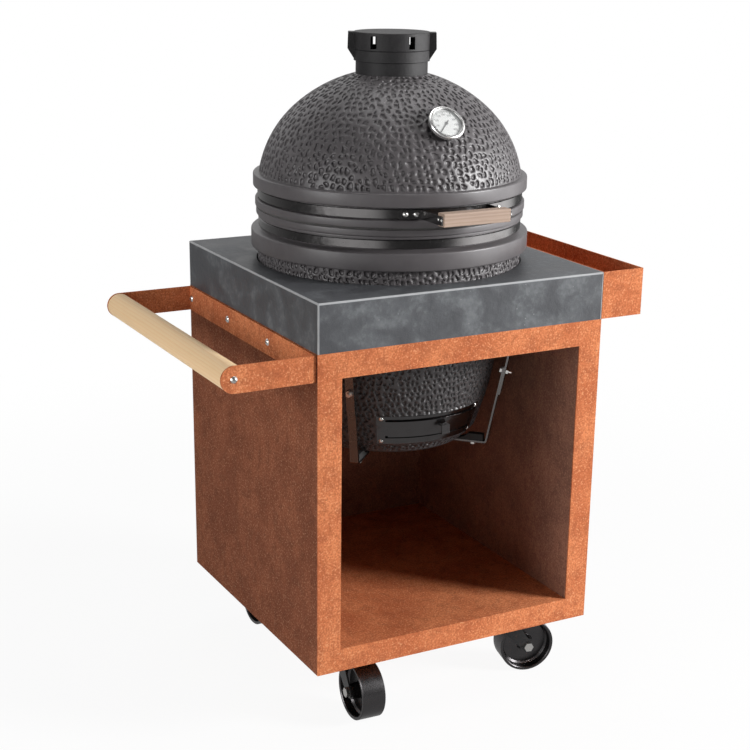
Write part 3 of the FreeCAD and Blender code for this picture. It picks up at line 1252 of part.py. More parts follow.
def lid_band_bolts():
    bolt = cap(BAND_BOLT_HEAD, 3.0).fuse(cylinder(BAND_BOLT_RADIUS, -BAND_BOLT_LENGTH, 0)).removeSplitter()
    bolts = []
    for angle in lid_bolt_angles():
        seat = LID_BAND_RADIUS + (HINGE_FOOT_SHEET if angle > 0 else HANDLE_ARM)
        bolts.append(aim(bolt, radial(angle, seat, LID_BAND_MIDDLE), radial(angle, 1)))
    return group(bolts)


def lid_handle():
    half = LID_HANDLE_HEIGHT / 2
    block = box(-HANDLE_X, HANDLE_X, -LID_HANDLE_FRONT, LID_HANDLE_DEPTH - LID_HANDLE_FRONT,
                LID_BAND_MIDDLE + 1.2 - half, LID_BAND_MIDDLE + 1.2 + half)
    return block.makeFillet(2.0, block.Edges)


def lid_handle_brackets():
    low, high = LID_BAND_LOW + BRACKET_INSET, LID_BAND_HIGH - BRACKET_INSET
    inner = LID_BAND_RADIUS
    outer = inner + HANDLE_ARM
    foot = sector((inner, low), [(outer, low), (outer, high), (inner, high)], HANDLE_FOOT_ANGLE / 2,
                  -90 + FOOT_INNER + HANDLE_FOOT_ANGLE / 2)
    start = -math.sqrt((inner + HANDLE_ARM / 2) ** 2 - HANDLE_X ** 2)
    arm = box(HANDLE_X, HANDLE_X + HANDLE_ARM, 3 - LID_HANDLE_FRONT, start, low, high)
    right = cut(foot.fuse(arm).removeSplitter(), lid_bolt_bores())
    return group([right, mirror_x(right)])


# Every piece by name
def pieces():
    slab, skirts = worktop_pieces()
    screws = door_screws()
    bolts = lid_band_bolts()
    made = {
        "front_frame": front_frame(),
        "side_panel_left": side_panel_left(),
        "side_panel_right": side_panel_right(),
        "back_panel": back_panel(),
        "inner_wall_left": inner_wall_left(),
        "inner_wall_right": inner_wall_right(),
        "shelf_floor": shelf_floor(),
        "base_plate": base_plate(),
        "top_plate": top_plate(),
        "worktop_slab": slab,
        "worktop_skirts": skirts,
        "side_tray": side_tray(),
        "panel_bolts": panel_bolts(),
        "handle_bracket": handle_bracket(),
        "handle_bar": handle_bar(),
        "hanger_brackets": hanger_copies(hanger_bracket()),
        "hanger_straps": hanger_copies(hanger_strap()),
        "hanger_pads": hanger_copies(hanger_pad()),
        "hanger_bolts": hanger_bolts(),
        "caster_plates": caster_plates(),
        "caster_bolts": caster_bolts(),
        "base_shell": cut(base_shell(), screws.Solids),
        "base_band": base_band(),
        "base_gasket": gasket(BASE_RIM_HIGH),
        "fire_box": fire_box(),
        "fire_ring": fire_ring(),
        "charcoal_grate": charcoal_grate(),
        "cooking_grate": cooking_grate(),
        "door_frame": door_frame(),
        "door_screws": screws,
        "draft_door": draft_door(),
        "hinge_base": hinge_base(),
        "hinge_pin": hinge_pin(),
        "hinge_springs": hinge_springs(),
        "lid_shell": cut(lid_shell(), bolts.Solids),
        "lid_band": lid_band(),
        "lid_gasket": gasket(LID_RIM_LOW - GASKET),
        "hinge_arm": hinge_arm(),
        "vent_collar": vent_collar(),
        "vent_cap": vent_cap(),
        "thermometer_case": thermometer_case(),
        "thermometer_bezel": thermometer_bezel(),
        "thermometer_dial": thermometer_dial(),
        "thermometer_lens": thermometer_lens(),
        "thermometer_needle": thermometer_needle(),
        "lid_handle": lid_handle(),
        "lid_handle_brackets": lid_handle_brackets(),
        "lid_band_bolts": bolts,
    }
    fork, wheel, axle = caster_fork(), caster_wheel(), caster_axle()
    for corner in CASTER_HEADINGS:
        made["fork_" + corner] = place_caster(fork, corner)
        made["wheel_" + corner] = place_caster(wheel, corner)
        made["axle_" + corner] = place_caster(axle, corner)
    return made


# The origin is the middle of the whole object's footprint, on the floor
def origin_shift():
    left, right = BAR_X - HANDLE_HEIGHT / 2, HALF + TRAY_WIDTH
    front, rear = -LID_HANDLE_FRONT, PIVOT_Y + HINGE_EYE
    return -(left + right) / 2, -(front + rear) / 2


def main():
    os.makedirs("parts", exist_ok=True)
    dx, dy = origin_shift()
    for name, shape in pieces().items():
        shift(shape, dx, dy).exportStep("parts/" + name + ".step")
        print("%-22s solids %2d valid %s" % (name, len(shape.Solids), shape.isValid()))


main()
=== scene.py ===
import json
import math
import random
from bisect import bisect

import bpy
from mathutils import Matrix, Vector
from mathutils.kdtree import KDTree


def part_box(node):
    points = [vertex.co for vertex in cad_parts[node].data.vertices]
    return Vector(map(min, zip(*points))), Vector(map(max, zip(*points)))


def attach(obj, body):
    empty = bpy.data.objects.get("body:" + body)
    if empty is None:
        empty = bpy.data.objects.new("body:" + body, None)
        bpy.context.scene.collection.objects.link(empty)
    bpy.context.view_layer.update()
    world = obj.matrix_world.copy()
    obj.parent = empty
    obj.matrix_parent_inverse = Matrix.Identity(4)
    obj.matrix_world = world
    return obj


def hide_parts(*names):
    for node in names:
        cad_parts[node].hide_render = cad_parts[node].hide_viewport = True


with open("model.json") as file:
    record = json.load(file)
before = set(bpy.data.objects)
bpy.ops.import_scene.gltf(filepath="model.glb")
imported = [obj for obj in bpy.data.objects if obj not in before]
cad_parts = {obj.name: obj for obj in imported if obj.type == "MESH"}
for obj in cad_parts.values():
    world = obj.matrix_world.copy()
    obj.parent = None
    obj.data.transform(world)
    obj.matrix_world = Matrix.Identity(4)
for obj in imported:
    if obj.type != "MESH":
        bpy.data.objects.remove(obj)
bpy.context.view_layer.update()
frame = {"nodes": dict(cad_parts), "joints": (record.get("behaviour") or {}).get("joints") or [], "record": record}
nodes = frame["nodes"]
joints = {joint["name"]: joint for joint in frame["joints"]}
axis = Vector(joints["draft_door_slide"]["pos_m"]).xy       # the grill's own axis
print("frame loaded:", len(nodes), "nodes")


# Shader nodes. A Value is a number socket that can stand in a sum.
class Value:
    def __init__(self, graph, socket):
        self.graph = graph
        self.socket = socket

    def __add__(self, other):
        return self.graph.maths("ADD", self, other)

    __radd__ = __add__

    def __sub__(self, other):
        return self.graph.maths("SUBTRACT", self, other)

    def __rsub__(self, other):
        return self.graph.maths("SUBTRACT", other, self)

    def __mul__(self, other):
        return self.graph.maths("MULTIPLY", self, other)

    __rmul__ = __mul__

    def __abs__(self):
        return self.graph.maths("ABSOLUTE", self)


class Graph:
    def __init__(self, tree):
        self.tree = tree
        tree.nodes.clear()

    # kind is the node's type, settings are its own, sockets are values or links by name or number
    def node(self, kind, settings=None, sockets=None):
        whole = kind.startswith(("Geometry", "Node"))
        made = self.tree.nodes.new(kind if whole else "ShaderNode" + kind)
        for name, value in (settings or {}).items():
            setattr(made, name, value)
        for name, value in (sockets or {}).items():
            self.fill(made.inputs[name], value)
        return made

    def fill(self, socket, value):
        if isinstance(value, Value):
            value = value.socket
        if isinstance(value, bpy.types.NodeSocket):
            self.tree.links.new(value, socket)
        elif socket.type == "RGBA":
            socket.default_value = (*value, 1)
        else:
            socket.default_value = value

    def maths(self, operation, first, second=0.0):
        made = self.node("Math", {"operation": operation}, {0: first, 1: second})
        return Value(self, made.outputs[0])

    # A length or a dot product is a number, all else a vector
    def vector(self, operation, *vectors):
        made = self.node("VectorMath", {"operation": operation}, dict(enumerate(vectors)))
        if operation in ("LENGTH", "DOT_PRODUCT"):
            return Value(self, made.outputs["Value"])
        return made.outputs["Vector"]

    # 0 at low and beyond, 1 at high and beyond, smooth between. Low may be the larger.
    def between(self, value, low, high):
        made = self.node("MapRange", {"interpolation_type": "SMOOTHSTEP"}, {
            "Value": value, "From Min": low, "From Max": high})
        return Value(self, made.outputs[0])


class Finish(Graph):
    def __init__(self, name, **uniform):
        self.material = bpy.data.materials.new(name)
        self.material.use_nodes = True
        super().__init__(self.material.node_tree)
        sockets = {socket.replace("_", " "): value for socket, value in uniform.items()}
        self.shader = self.node("BsdfPrincipled", None, sockets)
        self.node("OutputMaterial", None, {"Surface": self.shader.outputs[0]})
        self.place = self.node("TexCoord").outputs["Object"]

    # Object coordinates, moved to a centre and squeezed along each axis where these are given
    def spot(self, squeeze=None, centre=None):
        place = self.place
        if centre is not None:
            place = self.vector("SUBTRACT", place, centre)
        if squeeze is not None:
            place = self.vector("MULTIPLY", place, squeeze)
        return place

    # Noise about so many metres across, 0 to 1
    def noise(self, size, detail=3.0, squeeze=None, centre=None, twist=0.0):
        made = self.node("TexNoise", None, {
            "Vector": self.spot(squeeze, centre), "Scale": 1 / size,
            "Detail": detail, "Distortion": twist})
        return Value(self, made.outputs[0])

    # Distance from the middle of cells about so many metres across
    def cells(self, size):
        made = self.node("TexVoronoi", None, {"Vector": self.place, "Scale": 1 / size})
        return Value(self, made.outputs["Distance"])

    def along(self, letter):
        made = self.node("SeparateXYZ", None, {0: self.place})
        return Value(self, made.outputs[letter])

    def attribute(self, name, output="Fac"):
        made = self.node("Attribute", {"attribute_name": name})
        return Value(self, made.outputs[output])

    def mix(self, factor, first, second):
        made = self.node("Mix", {"data_type": "RGBA"}, {0: factor, 6: first, 7: second})
        return made.outputs[2]

    def bump(self, height, depth):
        return self.node("Bump", None, {"Height": height, "Distance": depth}).outputs[0]

    # Joins what varies to the shader, and hands over the material
    def finish(self, **varying):
        for name, value in varying.items():
            self.fill(self.shader.inputs[name.replace("_", " ")], value)
        return self.material


# Weathering steel: orange and brown patches, upright run marks, fine grain, pale flecks and pits.
# In every finish sizes are in metres, and a share is how strongly a mark's own colour shows.
weathering = {
    "light": (0.70, 0.235, 0.095),
    "base": (0.54, 0.155, 0.060),
    "dark": (0.33, 0.090, 0.038),
    "fleck": (0.82, 0.40, 0.20),
    "pit": (0.10, 0.038, 0.022),
    "patch": 0.085,
    "blotch": 0.026,
    "grain": 0.0036,
    "pitSize": 0.021,
    "runWidth": 0.1,        # of a patch
    "runSqueeze": (1, 1, 0.10),
    "blotchShare": 0.42,
    "runShare": 0.28,
    "grainShare": 0.5,
    "fleckShare": 0.6,
    "pitShare": 0.6,
    "rough": 0.82,
    "roughSpread": 0.12,
    "gloss": 0.18,
    "depth": 0.0009,
}
# Painted shade: a browner, darker copy of the weathering steel, for the two side panels
shaded = {
    **weathering,
    "light": (0.29, 0.098, 0.048),
    "base": (0.210, 0.067, 0.033),
    "dark": (0.12, 0.037, 0.019),
    "fleck": (0.48, 0.25, 0.14),
    "pit": (0.05, 0.022, 0.015),
}
# Painted shade: a darker, less saturated copy of the weathering steel for the storage bay's inner walls and the
# back panel, with a slight sheen
inner = {
    **shaded,
    "light": (0.36, 0.170, 0.110),
    "base": (0.255, 0.120, 0.079),
    "dark": (0.15, 0.071, 0.050),
    "gloss": 0.5,
}


def weatheringFinish(name, look):
    steel = Finish(name, Specular_IOR_Level=look["gloss"])
    patches = steel.noise(look["patch"], 5.0)
    broad = steel.noise(look["patch"] * 4, 2.0)
    blotches = steel.noise(look["blotch"], 5.0, twist=0.4)
    grain = steel.noise(look["grain"])
    runs = steel.noise(look["patch"] * look["runWidth"], squeeze=look["runSqueeze"])
    pits = 1 - steel.between(steel.cells(look["pitSize"]), 0.05, 0.11)
    colour = steel.mix(steel.between(patches + broad * 0.5, 0.55, 0.95), look["base"], look["light"])
    colour = steel.mix(steel.between(blotches, 0.46, 0.70) * look["blotchShare"], colour, look["dark"])
    colour = steel.mix(steel.between(runs, 0.52, 0.70) * look["runShare"], colour, look["dark"])
    colour = steel.mix(steel.between(grain, 0.49, 0.64) * look["grainShare"], colour, look["dark"])
    colour = steel.mix(
        (1 - steel.between(grain, 0.33, 0.43)) * look["fleckShare"], colour, look["fleck"])
    colour = steel.mix(
        pits * steel.between(patches, 0.45, 0.62) * look["pitShare"], colour, look["pit"])
    return steel.finish(
        Base_Color=colour,
        Roughness=look["rough"] + steel.between(grain, 0.4, 0.6) * look["roughSpread"],
        Normal=steel.bump(grain * 0.5 + blotches, look["depth"]))


# Worktop: dark slate-like slab, cloudy, with pale specks and a painted highlight along its edges
slate = {
    "base": (0.098, 0.104, 0.112),
    "pale": (0.165, 0.172, 0.180),
    "dark": (0.060, 0.062, 0.068),
    "speck": (0.34, 0.35, 0.35),
    "edge": (0.62, 0.63, 0.64),
    "cloud": 0.06,
    "fine": 0.16,           # of a cloud
    "grit": 0.0016,
    "speckSize": 0.017,
    "edgeWidth": 0.0018,
    "paleShare": 0.7,
    "gritShare": 0.3,
    "speckShare": 0.55,
    "edgeHighlightShare": 0.65,
    "rough": 0.42,
    "roughSpread": 0.16,
    "gloss": 0.35,
    "depth": 0.0006,
}


def slateFinish(name, look):
    stone = Finish(name, Specular_IOR_Level=look["gloss"])
    cloud = stone.noise(look["cloud"], 4.0, twist=0.6)
    fine = stone.noise(look["cloud"] * look["fine"], 4.0)
    grit = stone.noise(look["grit"], 2.0)
    pale = stone.between(cloud * 0.6 + fine * 0.4, 0.50, 0.70)
    specks = 1 - stone.between(stone.cells(look["speckSize"]), 0.05, 0.11)
    specks = specks * stone.between(cloud, 0.5, 0.62)
    colour = stone.mix(stone.between(cloud, 0.35, 0.68), look["dark"], look["base"])
    colour = stone.mix(pale * look["paleShare"], colour, look["pale"])
    colour = stone.mix(stone.between(grit, 0.56, 0.72) * look["gritShare"], colour, look["pale"])
    colour = stone.mix(specks * look["speckShare"], colour, look["speck"])
    low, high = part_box("worktop_skirts")
    # Painted highlight: a pale line along the slab's outer edges, where the light catches their chamfers
    middle, reach, width = (low + high) / 2, (high - low) / 2, look["edgeWidth"]
    across = abs(stone.along("X") - middle.x)
    deep = abs(stone.along("Y") - middle.y)
    sideEdge = stone.between(across, reach.x - width * 2, reach.x - width)
    frontEdge = stone.between(deep, reach.y - width * 2, reach.y - width)
    topEdge = stone.between(stone.along("Z"), high.z - width * 2, high.z - width)
    wornAndHighlit = stone.maths("MINIMUM", sideEdge * frontEdge + sideEdge * topEdge + frontEdge * topEdge, 1.0)
    colour = stone.mix(wornAndHighlit * look["edgeHighlightShare"], colour, look["edge"])
    return stone.finish(
        Base_Color=colour,
        Roughness=look["rough"] + stone.between(cloud, 0.3, 0.7) * look["roughSpread"],
        Normal=stone.bump(grit * 0.4 + fine, look["depth"]))


# Dimples of the ceramic: sunk, close together, each with its own lean and bend. A vertex's
# measure is 0 in the middle of its dimple and 1 between two, so the press and the glaze agree.
relief = {
    "pitch": 0.0150,
    "rise": 0.0152,
    "jitter": 0.36,
    "half": (0.0050, 0.0070),
    "spread": 0.20,
    "lean": math.radians(40),
    "bend": 0.5,
    "nearest": 6,           # dimples tried for each vertex
    "wall": (0.52, 0.76),
    "wobble": 0.62,
    "wobbleSize": 0.0062,
    "floor": 0.08,
    "depth": 0.0026,
    "seed": 4,
}
baseRelief = {**relief, "pitch": 0.0120, "rise": 0.0126}


# Height over a dimple's floor, and how far up its wall, both 0 to 1
def dimpleHeight(graph, measure, place, look):
    noise = graph.node("TexNoise", None, {
        "Vector": place, "Scale": 1 / look["wobbleSize"], "Detail": 1.0})
    ragged = measure + (Value(graph, noise.outputs[0]) - 0.5) * look["wobble"]
    wall = graph.between(ragged, *look["wall"])
    slope = graph.between(ragged, 0.0, look["wall"][1])
    return wall * (1 - look["floor"]) + slope * look["floor"], wall


# Glazed ceramic: charcoal, with painted shade on the dimples' walls and a fine grain. The part of the base that
# hangs below the worktop is darker, as painted shade.
glaze = {
    "top": (0.106, 0.097, 0.101),
    "cloud": (0.080, 0.073, 0.076),
    # hung: the painted-shade colour of the glaze below the worktop
    "hung": (0.046, 0.042, 0.043),
    # deep: the colour of the painted shade on the dimples' walls
    "deep": (0.012, 0.011, 0.011),
    "mottle": 0.03,
    "grain": 0.0012,
    "cloudShare": 0.5,
    "wallShadeShare": 0.3,
    "rough": 0.35,
    "roughSpread": 0.1,
    "gloss": 0.5,
    "bump": 0.9,            # of the dimples' depth
    "grainBump": 0.04,
}
worktopSpan = tuple(end.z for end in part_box("worktop_slab"))


def glazeFinish(name, look):
    ceramic = Finish(name, Specular_IOR_Level=look["gloss"])
    place = ceramic.attribute("restPlace", "Vector")
    height, wall = dimpleHeight(ceramic, ceramic.attribute("dimple"), place, relief)
    weight = ceramic.attribute("reliefWeight")
    # Painted shade: the dimples' walls darken toward the deep colour, most at mid-wall
    wallShade = wall * (1 - wall) * (4 * look["wallShadeShare"])
    grain = ceramic.noise(look["grain"], 2.0)
    mottle = ceramic.noise(look["mottle"])
    colour = ceramic.mix(
        ceramic.between(mottle, 0.3, 0.7) * look["cloudShare"], look["top"], look["cloud"])
    # Painted shade: the glaze turns darker below the worktop's top, where the bowl hangs in the cabinet
    colour = ceramic.mix(ceramic.between(ceramic.along("Z"), *worktopSpan), look["hung"], colour)
    colour = ceramic.mix(wallShade * weight, colour, look["deep"])
    lift = (height - 1) * weight + grain * look["grainBump"]
    return ceramic.finish(
        Base_Color=colour,
        Roughness=look["rough"] + ceramic.between(grain, 0.35, 0.65) * look["roughSpread"],
        Normal=ceramic.bump(lift, relief["depth"] * look["bump"]))


# Unglazed inside of the ceramic and the fire parts
clayLook = {
    "cloud": 0.05,
    "grain": 0.0018,
    "grainShare": 0.3,
    "rough": 0.8,
    "roughSpread": 0.15,
    "gloss": 0.25,
    "depth": 0.0006,
}


def clayFinish(name, colour, stain):
    clay = Finish(name, Specular_IOR_Level=clayLook["gloss"])
    cloud = clay.noise(clayLook["cloud"], 4.0)
    grain = clay.noise(clayLook["grain"])
    tone = clay.mix(clay.between(cloud, 0.35, 0.7), colour, stain)
    tone = clay.mix(clay.between(grain, 0.5, 0.7) * clayLook["grainShare"], tone, stain)
    return clay.finish(
        Base_Color=tone,
        Roughness=clayLook["rough"] + grain * clayLook["roughSpread"],
        Normal=clay.bump(grain, clayLook["depth"]))


# Painted or coated metal: a soft unevenness in colour, gloss and surface
paintLook = {
    "cloud": 0.03,
    "grain": 0.004,
    "wornShare": 0.6,
    "roughSpread": 0.12,
    "gloss": 0.5,
    "depth": 0.00006,
}


def paintFinish(name, colour, wornAndHighlit, rough):
    paint = Finish(name, Specular_IOR_Level=paintLook["gloss"])
    cloud = paint.noise(paintLook["cloud"], 4.0)
    grain = paint.noise(paintLook["grain"], 2.0)
    tone = paint.mix(paint.between(cloud, 0.4, 0.75) * paintLook["wornShare"], colour, wornAndHighlit)
    return paint.finish(
        Base_Color=tone,
        Roughness=rough + paint.between(cloud, 0.35, 0.7) * paintLook["roughSpread"],
        Normal=paint.bump(grain, paintLook["depth"]))


# Cast iron with its sand-cast grain
ironLook = {
    "cloud": 0.02,
    "grain": 0.0022,
    "cloudShare": 0.4,
    "grainShare": 0.5,
    "roughSpread": 0.2,
    "gloss": 0.3,
    "depth": 0.0006,
}


def ironFinish(name, colour, wornAndHighlit, rough):
    iron = Finish(name, Specular_IOR_Level=ironLook["gloss"])
    cloud = iron.noise(ironLook["cloud"])
    grain = iron.noise(ironLook["grain"], 4.0)
    tone = iron.mix(iron.between(grain, 0.45, 0.7) * ironLook["grainShare"], colour, wornAndHighlit)
    tone = iron.mix(iron.between(cloud, 0.45, 0.7) * ironLook["cloudShare"], tone, wornAndHighlit)
    return iron.finish(
        Base_Color=tone,
        Roughness=rough + grain * ironLook["roughSpread"],
        Normal=iron.bump(grain, ironLook["depth"]))


# Bare steel with faint stains, brushed along the axis that is squeezed
steelLook = {
    "brush": 0.0015,
    "cloud": 0.025,
    "stain": 0.75,          # of the steel's own colour
    "stainShare": 0.3,
    "brushSpread": 0.08,
    "stainSpread": 0.06,
    "depth": 0.00003,
}


def steelFinish(name, colour, rough, squeeze=None):
    steel = Finish(name, Metallic=1.0)
    brush = steel.noise(steelLook["brush"], 2.0, squeeze)
    cloud = steel.noise(steelLook["cloud"])
    stained = tuple(part * steelLook["stain"] for part in colour)
    brushed = steel.between(brush, 0.35, 0.65) * steelLook["brushSpread"]
    clouded = steel.between(cloud, 0.4, 0.7) * steelLook["stainSpread"]
    return steel.finish(
        Base_Color=steel.mix(steel.between(cloud, 0.4, 0.75) * steelLook["stainShare"], colour, stained),
        Roughness=rough + brushed + clouded,
        Normal=steel.bump(brush, steelLook["depth"]))


# Wood with growth rings round a pith line, so that ends show arcs and sides long grain.
# The grain runs along the axis that is squeezed.
paleWood = {
    "early": (0.98, 0.70, 0.41),
    "late": (0.95, 0.63, 0.34),
    "fleck": (0.66, 0.42, 0.20),
    "ring": 0.0065,
    "ringBend": 3.5,
    "bend": 0.05,
    "line": 0.0016,
    "pore": 0.0008,
    "pith": (-0.035, 0.0, -0.06),
    "squeeze": (1, 0.045, 1),
    "ringShare": 0.75,
    "lineShare": 0.5,
    "poreShare": 0.4,
    "rough": 0.5,
    "roughSpread": 0.1,
    "gloss": 0.35,
    "depth": 0.0003,
}
brownWood = {
    **paleWood,
    "early": (0.46, 0.335, 0.262),
    "late": (0.36, 0.250, 0.188),
    "fleck": (0.12, 0.075, 0.05),
    "ring": 0.005,
    "pith": (0.0, 0.03, -0.05),
    "squeeze": (0.045, 1, 1),
    "rough": 0.55,
}


def woodFinish(name, look, node):
    wood = Finish(name, Specular_IOR_Level=look["gloss"])
    low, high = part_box(node)
    centre = (low + high) / 2 + Vector(look["pith"])
    squeeze = look["squeeze"]
    bend = wood.noise(look["bend"], 3.0, squeeze, centre)
    lines = wood.noise(look["line"], 3.0, squeeze, centre)
    pores = wood.noise(look["pore"], 2.0, tuple(part * part for part in squeeze), centre)
    away = wood.vector("LENGTH", wood.spot(squeeze, centre))
    rings = wood.maths("FRACT", away * (1 / look["ring"]) + bend * look["ringBend"])
    late = wood.between(rings, 0.45, 0.95) * (1 - wood.between(rings, 0.95, 1.0))
    tone = wood.mix(late * look["ringShare"], look["early"], look["late"])
    tone = wood.mix(wood.between(lines, 0.5, 0.72) * look["lineShare"], tone, look["late"])
    tone = wood.mix(wood.between(pores, 0.62, 0.72) * look["poreShare"], tone, look["fleck"])
    return wood.finish(
        Base_Color=tone,
        Roughness=look["rough"] + late * look["roughSpread"],
        Normal=wood.bump(lines * 0.5 + pores, look["depth"]))


# Rubber, paler in dusty clouds
rubberLook = {
    "dusty": 2,             # times the rubber's own colour
    "cloud": 0.03,
    "grain": 0.001,
    "dustShare": 0.5,
    "roughSpread": 0.1,
    "gloss": 0.4,
    "depth": 0.0002,
}


def rubberFinish(name, colour, rough):
    rubber = Finish(name, Specular_IOR_Level=rubberLook["gloss"])
    cloud = rubber.noise(rubberLook["cloud"])
    grain = rubber.noise(rubberLook["grain"], 2.0)
    dusty = tuple(part * rubberLook["dusty"] for part in colour)
    return rubber.finish(
        Base_Color=rubber.mix(rubber.between(cloud, 0.4, 0.7) * rubberLook["dustShare"], colour, dusty),
        Roughness=rough + grain * rubberLook["roughSpread"],
        Normal=rubber.bump(grain, rubberLook["depth"]))


felt = {
    "dark": (0.05, 0.05, 0.05),
    "light": (0.16, 0.155, 0.15),
    "fibre": 0.0009,
    "rough": 0.95,
    "gloss": 0.1,
    "sheen": 0.3,
    "depth": 0.0008,
}


def feltFinish(name, look):
    gasket = Finish(name, Specular_IOR_Level=look["gloss"], Sheen_Weight=look["sheen"])
    fibres = gasket.noise(look["fibre"], 4.0, twist=1.5)
    return gasket.finish(
        Base_Color=gasket.mix(gasket.between(fibres, 0.35, 0.65), look["dark"], look["light"]),
        Roughness=look["rough"],
        Normal=gasket.bump(fibres, look["depth"]))


enamel = {
    "white": (0.86, 0.86, 0.85),
    "grey": (0.80, 0.80, 0.79),
    "mottle": 0.01,
    "greyShare": 0.3,
    "rough": 0.4,
    "roughSpread": 0.05,
    "gloss": 0.4,
}


def enamelFinish(name, look):
    dial = Finish(name, Specular_IOR_Level=look["gloss"])
    mottle = dial.noise(look["mottle"], 2.0)
    tone = dial.mix(dial.between(mottle, 0.3, 0.7) * look["greyShare"], look["white"], look["grey"])
    return dial.finish(Base_Color=tone, Roughness=look["rough"] + mottle * look["roughSpread"])


glass = {
    "clear": (0.9, 0.92, 0.92),
    "smeared": (0.8, 0.82, 0.82),
    "smear": 0.012,
    "alpha": 0.10,
    "rough": 0.03,
    "gloss": 0.6,
}


def glassFinish(name, look):
    lens = Finish(name, Alpha=look["alpha"], Roughness=look["rough"], Specular_IOR_Level=look["gloss"])
    smear = lens.noise(look["smear"], 2.0)
    return lens.finish(Base_Color=lens.mix(smear, look["clear"], look["smeared"]))


finishes = {
    "weathering_steel": weatheringFinish("weatheringSteel", weathering),
    "handle_steel": weatheringFinish("weatheringStrip", {**weathering, "patch": 0.05}),
    "worktop_stone": slateFinish("slate", slate),
    "grill_ceramic": glazeFinish("glaze", glaze),
    "fire_clay": clayFinish("fireClay", (0.52, 0.47, 0.39), (0.36, 0.31, 0.25)),
    "band_steel": steelFinish("bandSteel", (0.125, 0.120, 0.120), 0.15, (1, 1, 0.2)),
    "door_steel": steelFinish("doorSteel", (0.092, 0.087, 0.087), 0.14, (0.15, 1, 1)),
    "caster_steel": paintFinish("casterPaint", (0.016, 0.016, 0.017), (0.03, 0.03, 0.03), 0.24),
    "wheel_black": steelFinish("wheelSteel", (0.085, 0.081, 0.083), 0.23),
    "dark_metal": paintFinish("casePaint", (0.03, 0.03, 0.032), (0.05, 0.05, 0.05), 0.35),
    "needle_black": paintFinish("needlePaint", (0.14, 0.14, 0.14), (0.20, 0.20, 0.20), 0.35),
    "vent_iron": ironFinish("ventIron", (0.016, 0.015, 0.016), (0.032, 0.030, 0.031), 0.44),
    "grate_iron": ironFinish("grateIron", (0.035, 0.033, 0.032), (0.08, 0.07, 0.06), 0.55),
    "stainless_bolts": steelFinish("stainlessBolt", (0.66, 0.65, 0.63), 0.20),
    "hanger_steel": steelFinish("hangerSteel", (0.16, 0.152, 0.148), 0.18, (1, 1, 0.1)),
    "polished_steel": steelFinish("polishedSteel", (0.84, 0.83, 0.82), 0.22, (0.1, 1, 1)),
    "grate_steel": steelFinish("grateSteel", (0.52, 0.50, 0.47), 0.26, (1, 0.1, 1)),
    "black_rubber": rubberFinish("blackRubber", (0.018, 0.018, 0.018), 0.6),
    "gasket_felt": feltFinish("gasketFelt", felt),
    "pale_wood": woodFinish("paleWood", paleWood, "handle_bar"),
    "handle_wood": woodFinish("brownWood", brownWood, "lid_handle"),
    "dial_white": enamelFinish("dialEnamel", enamel),
    "clear_glass": glassFinish("lensGlass", glass),
}
paintedShadeSteel = weatheringFinish("paintedShadeSteel", shaded)
# Painted shade: darker steel for the inside of the storage bay and the back panel
innerShadeSteel = weatheringFinish("innerShadeSteel", inner)
rawClay = clayFinish("rawClay", (0.30, 0.27, 0.235), (0.19, 0.165, 0.14))

# Painted shade: the side panels take the shaded copy of the steel, the inner walls and the back panel the inner
# copy
ownFinish = {
    "side_panel_left": paintedShadeSteel, "side_panel_right": paintedShadeSteel,
    "inner_wall_left": innerShadeSteel, "inner_wall_right": innerShadeSteel, "back_panel": innerShadeSteel,
}
for part in frame["record"]["subparts"]:
    materials = nodes[part["node"]].data.materials
    materials.clear()
    materials.append(ownFinish.get(part["node"]) or finishes[part["material_slot"]])
print("finishes on", len(nodes), "nodes")


# Outlines in the plane through the axis: (radius, height) in metres. A line or an arc goes on
# from its start, so the start itself is left out.
def straight(start, end, step):
    start, end = Vector(start), Vector(end)
    count = max(1, round((end - start).length / step))
    return [tuple(start.lerp(end, share / count)) for share in range(1, count + 1)]


def arc(centre, start, end, step):
    centre, start, end = Vector(centre), Vector(start), Vector(end)
    first, last = start - centre, end - centre
    turned = last.angle_signed(first)
    count = max(1, round(first.length * abs(turned) / step))
    spots = []
    for index in range(1, count + 1):
        angle = turned * index / count
        cos, sin = math.cos(angle), math.sin(angle)
        across, up = first.x * cos - first.y * sin, first.x * sin + first.y * cos
        spots.append((centre.x + across, centre.y + up))
    return spots


# Corners (radius, height, rounding) as points, a rounded one as a short arc
def rounded(corners, steps=4):
    spots = []
    for before, corner, after in zip([corners[0], *corners], corners, [*corners[1:], corners[-1]]):
        at = Vector(corner[:2])
        if not corner[2]:
            spots.append(tuple(at))
            continue
        back = (Vector(before[:2]) - at).normalized()
        on = (Vector(after[:2]) - at).normalized()
        half = back.angle(on) / 2
        reach = corner[2] / math.tan(half)
        centre = at + (back + on).normalized() * (corner[2] / math.sin(half))
        start, end = at + back * reach, at + on * reach
        turned = (end - centre).angle(start - centre)
        spots.append(tuple(start))
        spots += arc(centre, start, end, corner[2] * turned / steps)
    return spots


def deselectAll():
    if bpy.context.object and bpy.context.object.mode != "OBJECT":
        bpy.ops.object.mode_set(mode="OBJECT")
    bpy.ops.object.select_all(action="DESELECT")


def selectOnly(piece):
    deselectAll()
    piece.select_set(True)
    bpy.context.view_layer.objects.active = piece


# In edit mode, leaves only the faces selected that pass the test
def selectFaces(piece, test):
    bpy.ops.mesh.select_mode(type="FACE")
    bpy.ops.mesh.select_all(action="DESELECT")
    bpy.ops.object.mode_set(mode="OBJECT")
    for face in piece.data.polygons:
        face.select = test(face.center)
    bpy.ops.object.mode_set(mode="EDIT")


def applyPlace():
    bpy.ops.object.transform_apply(location=True, rotation=True, scale=True)


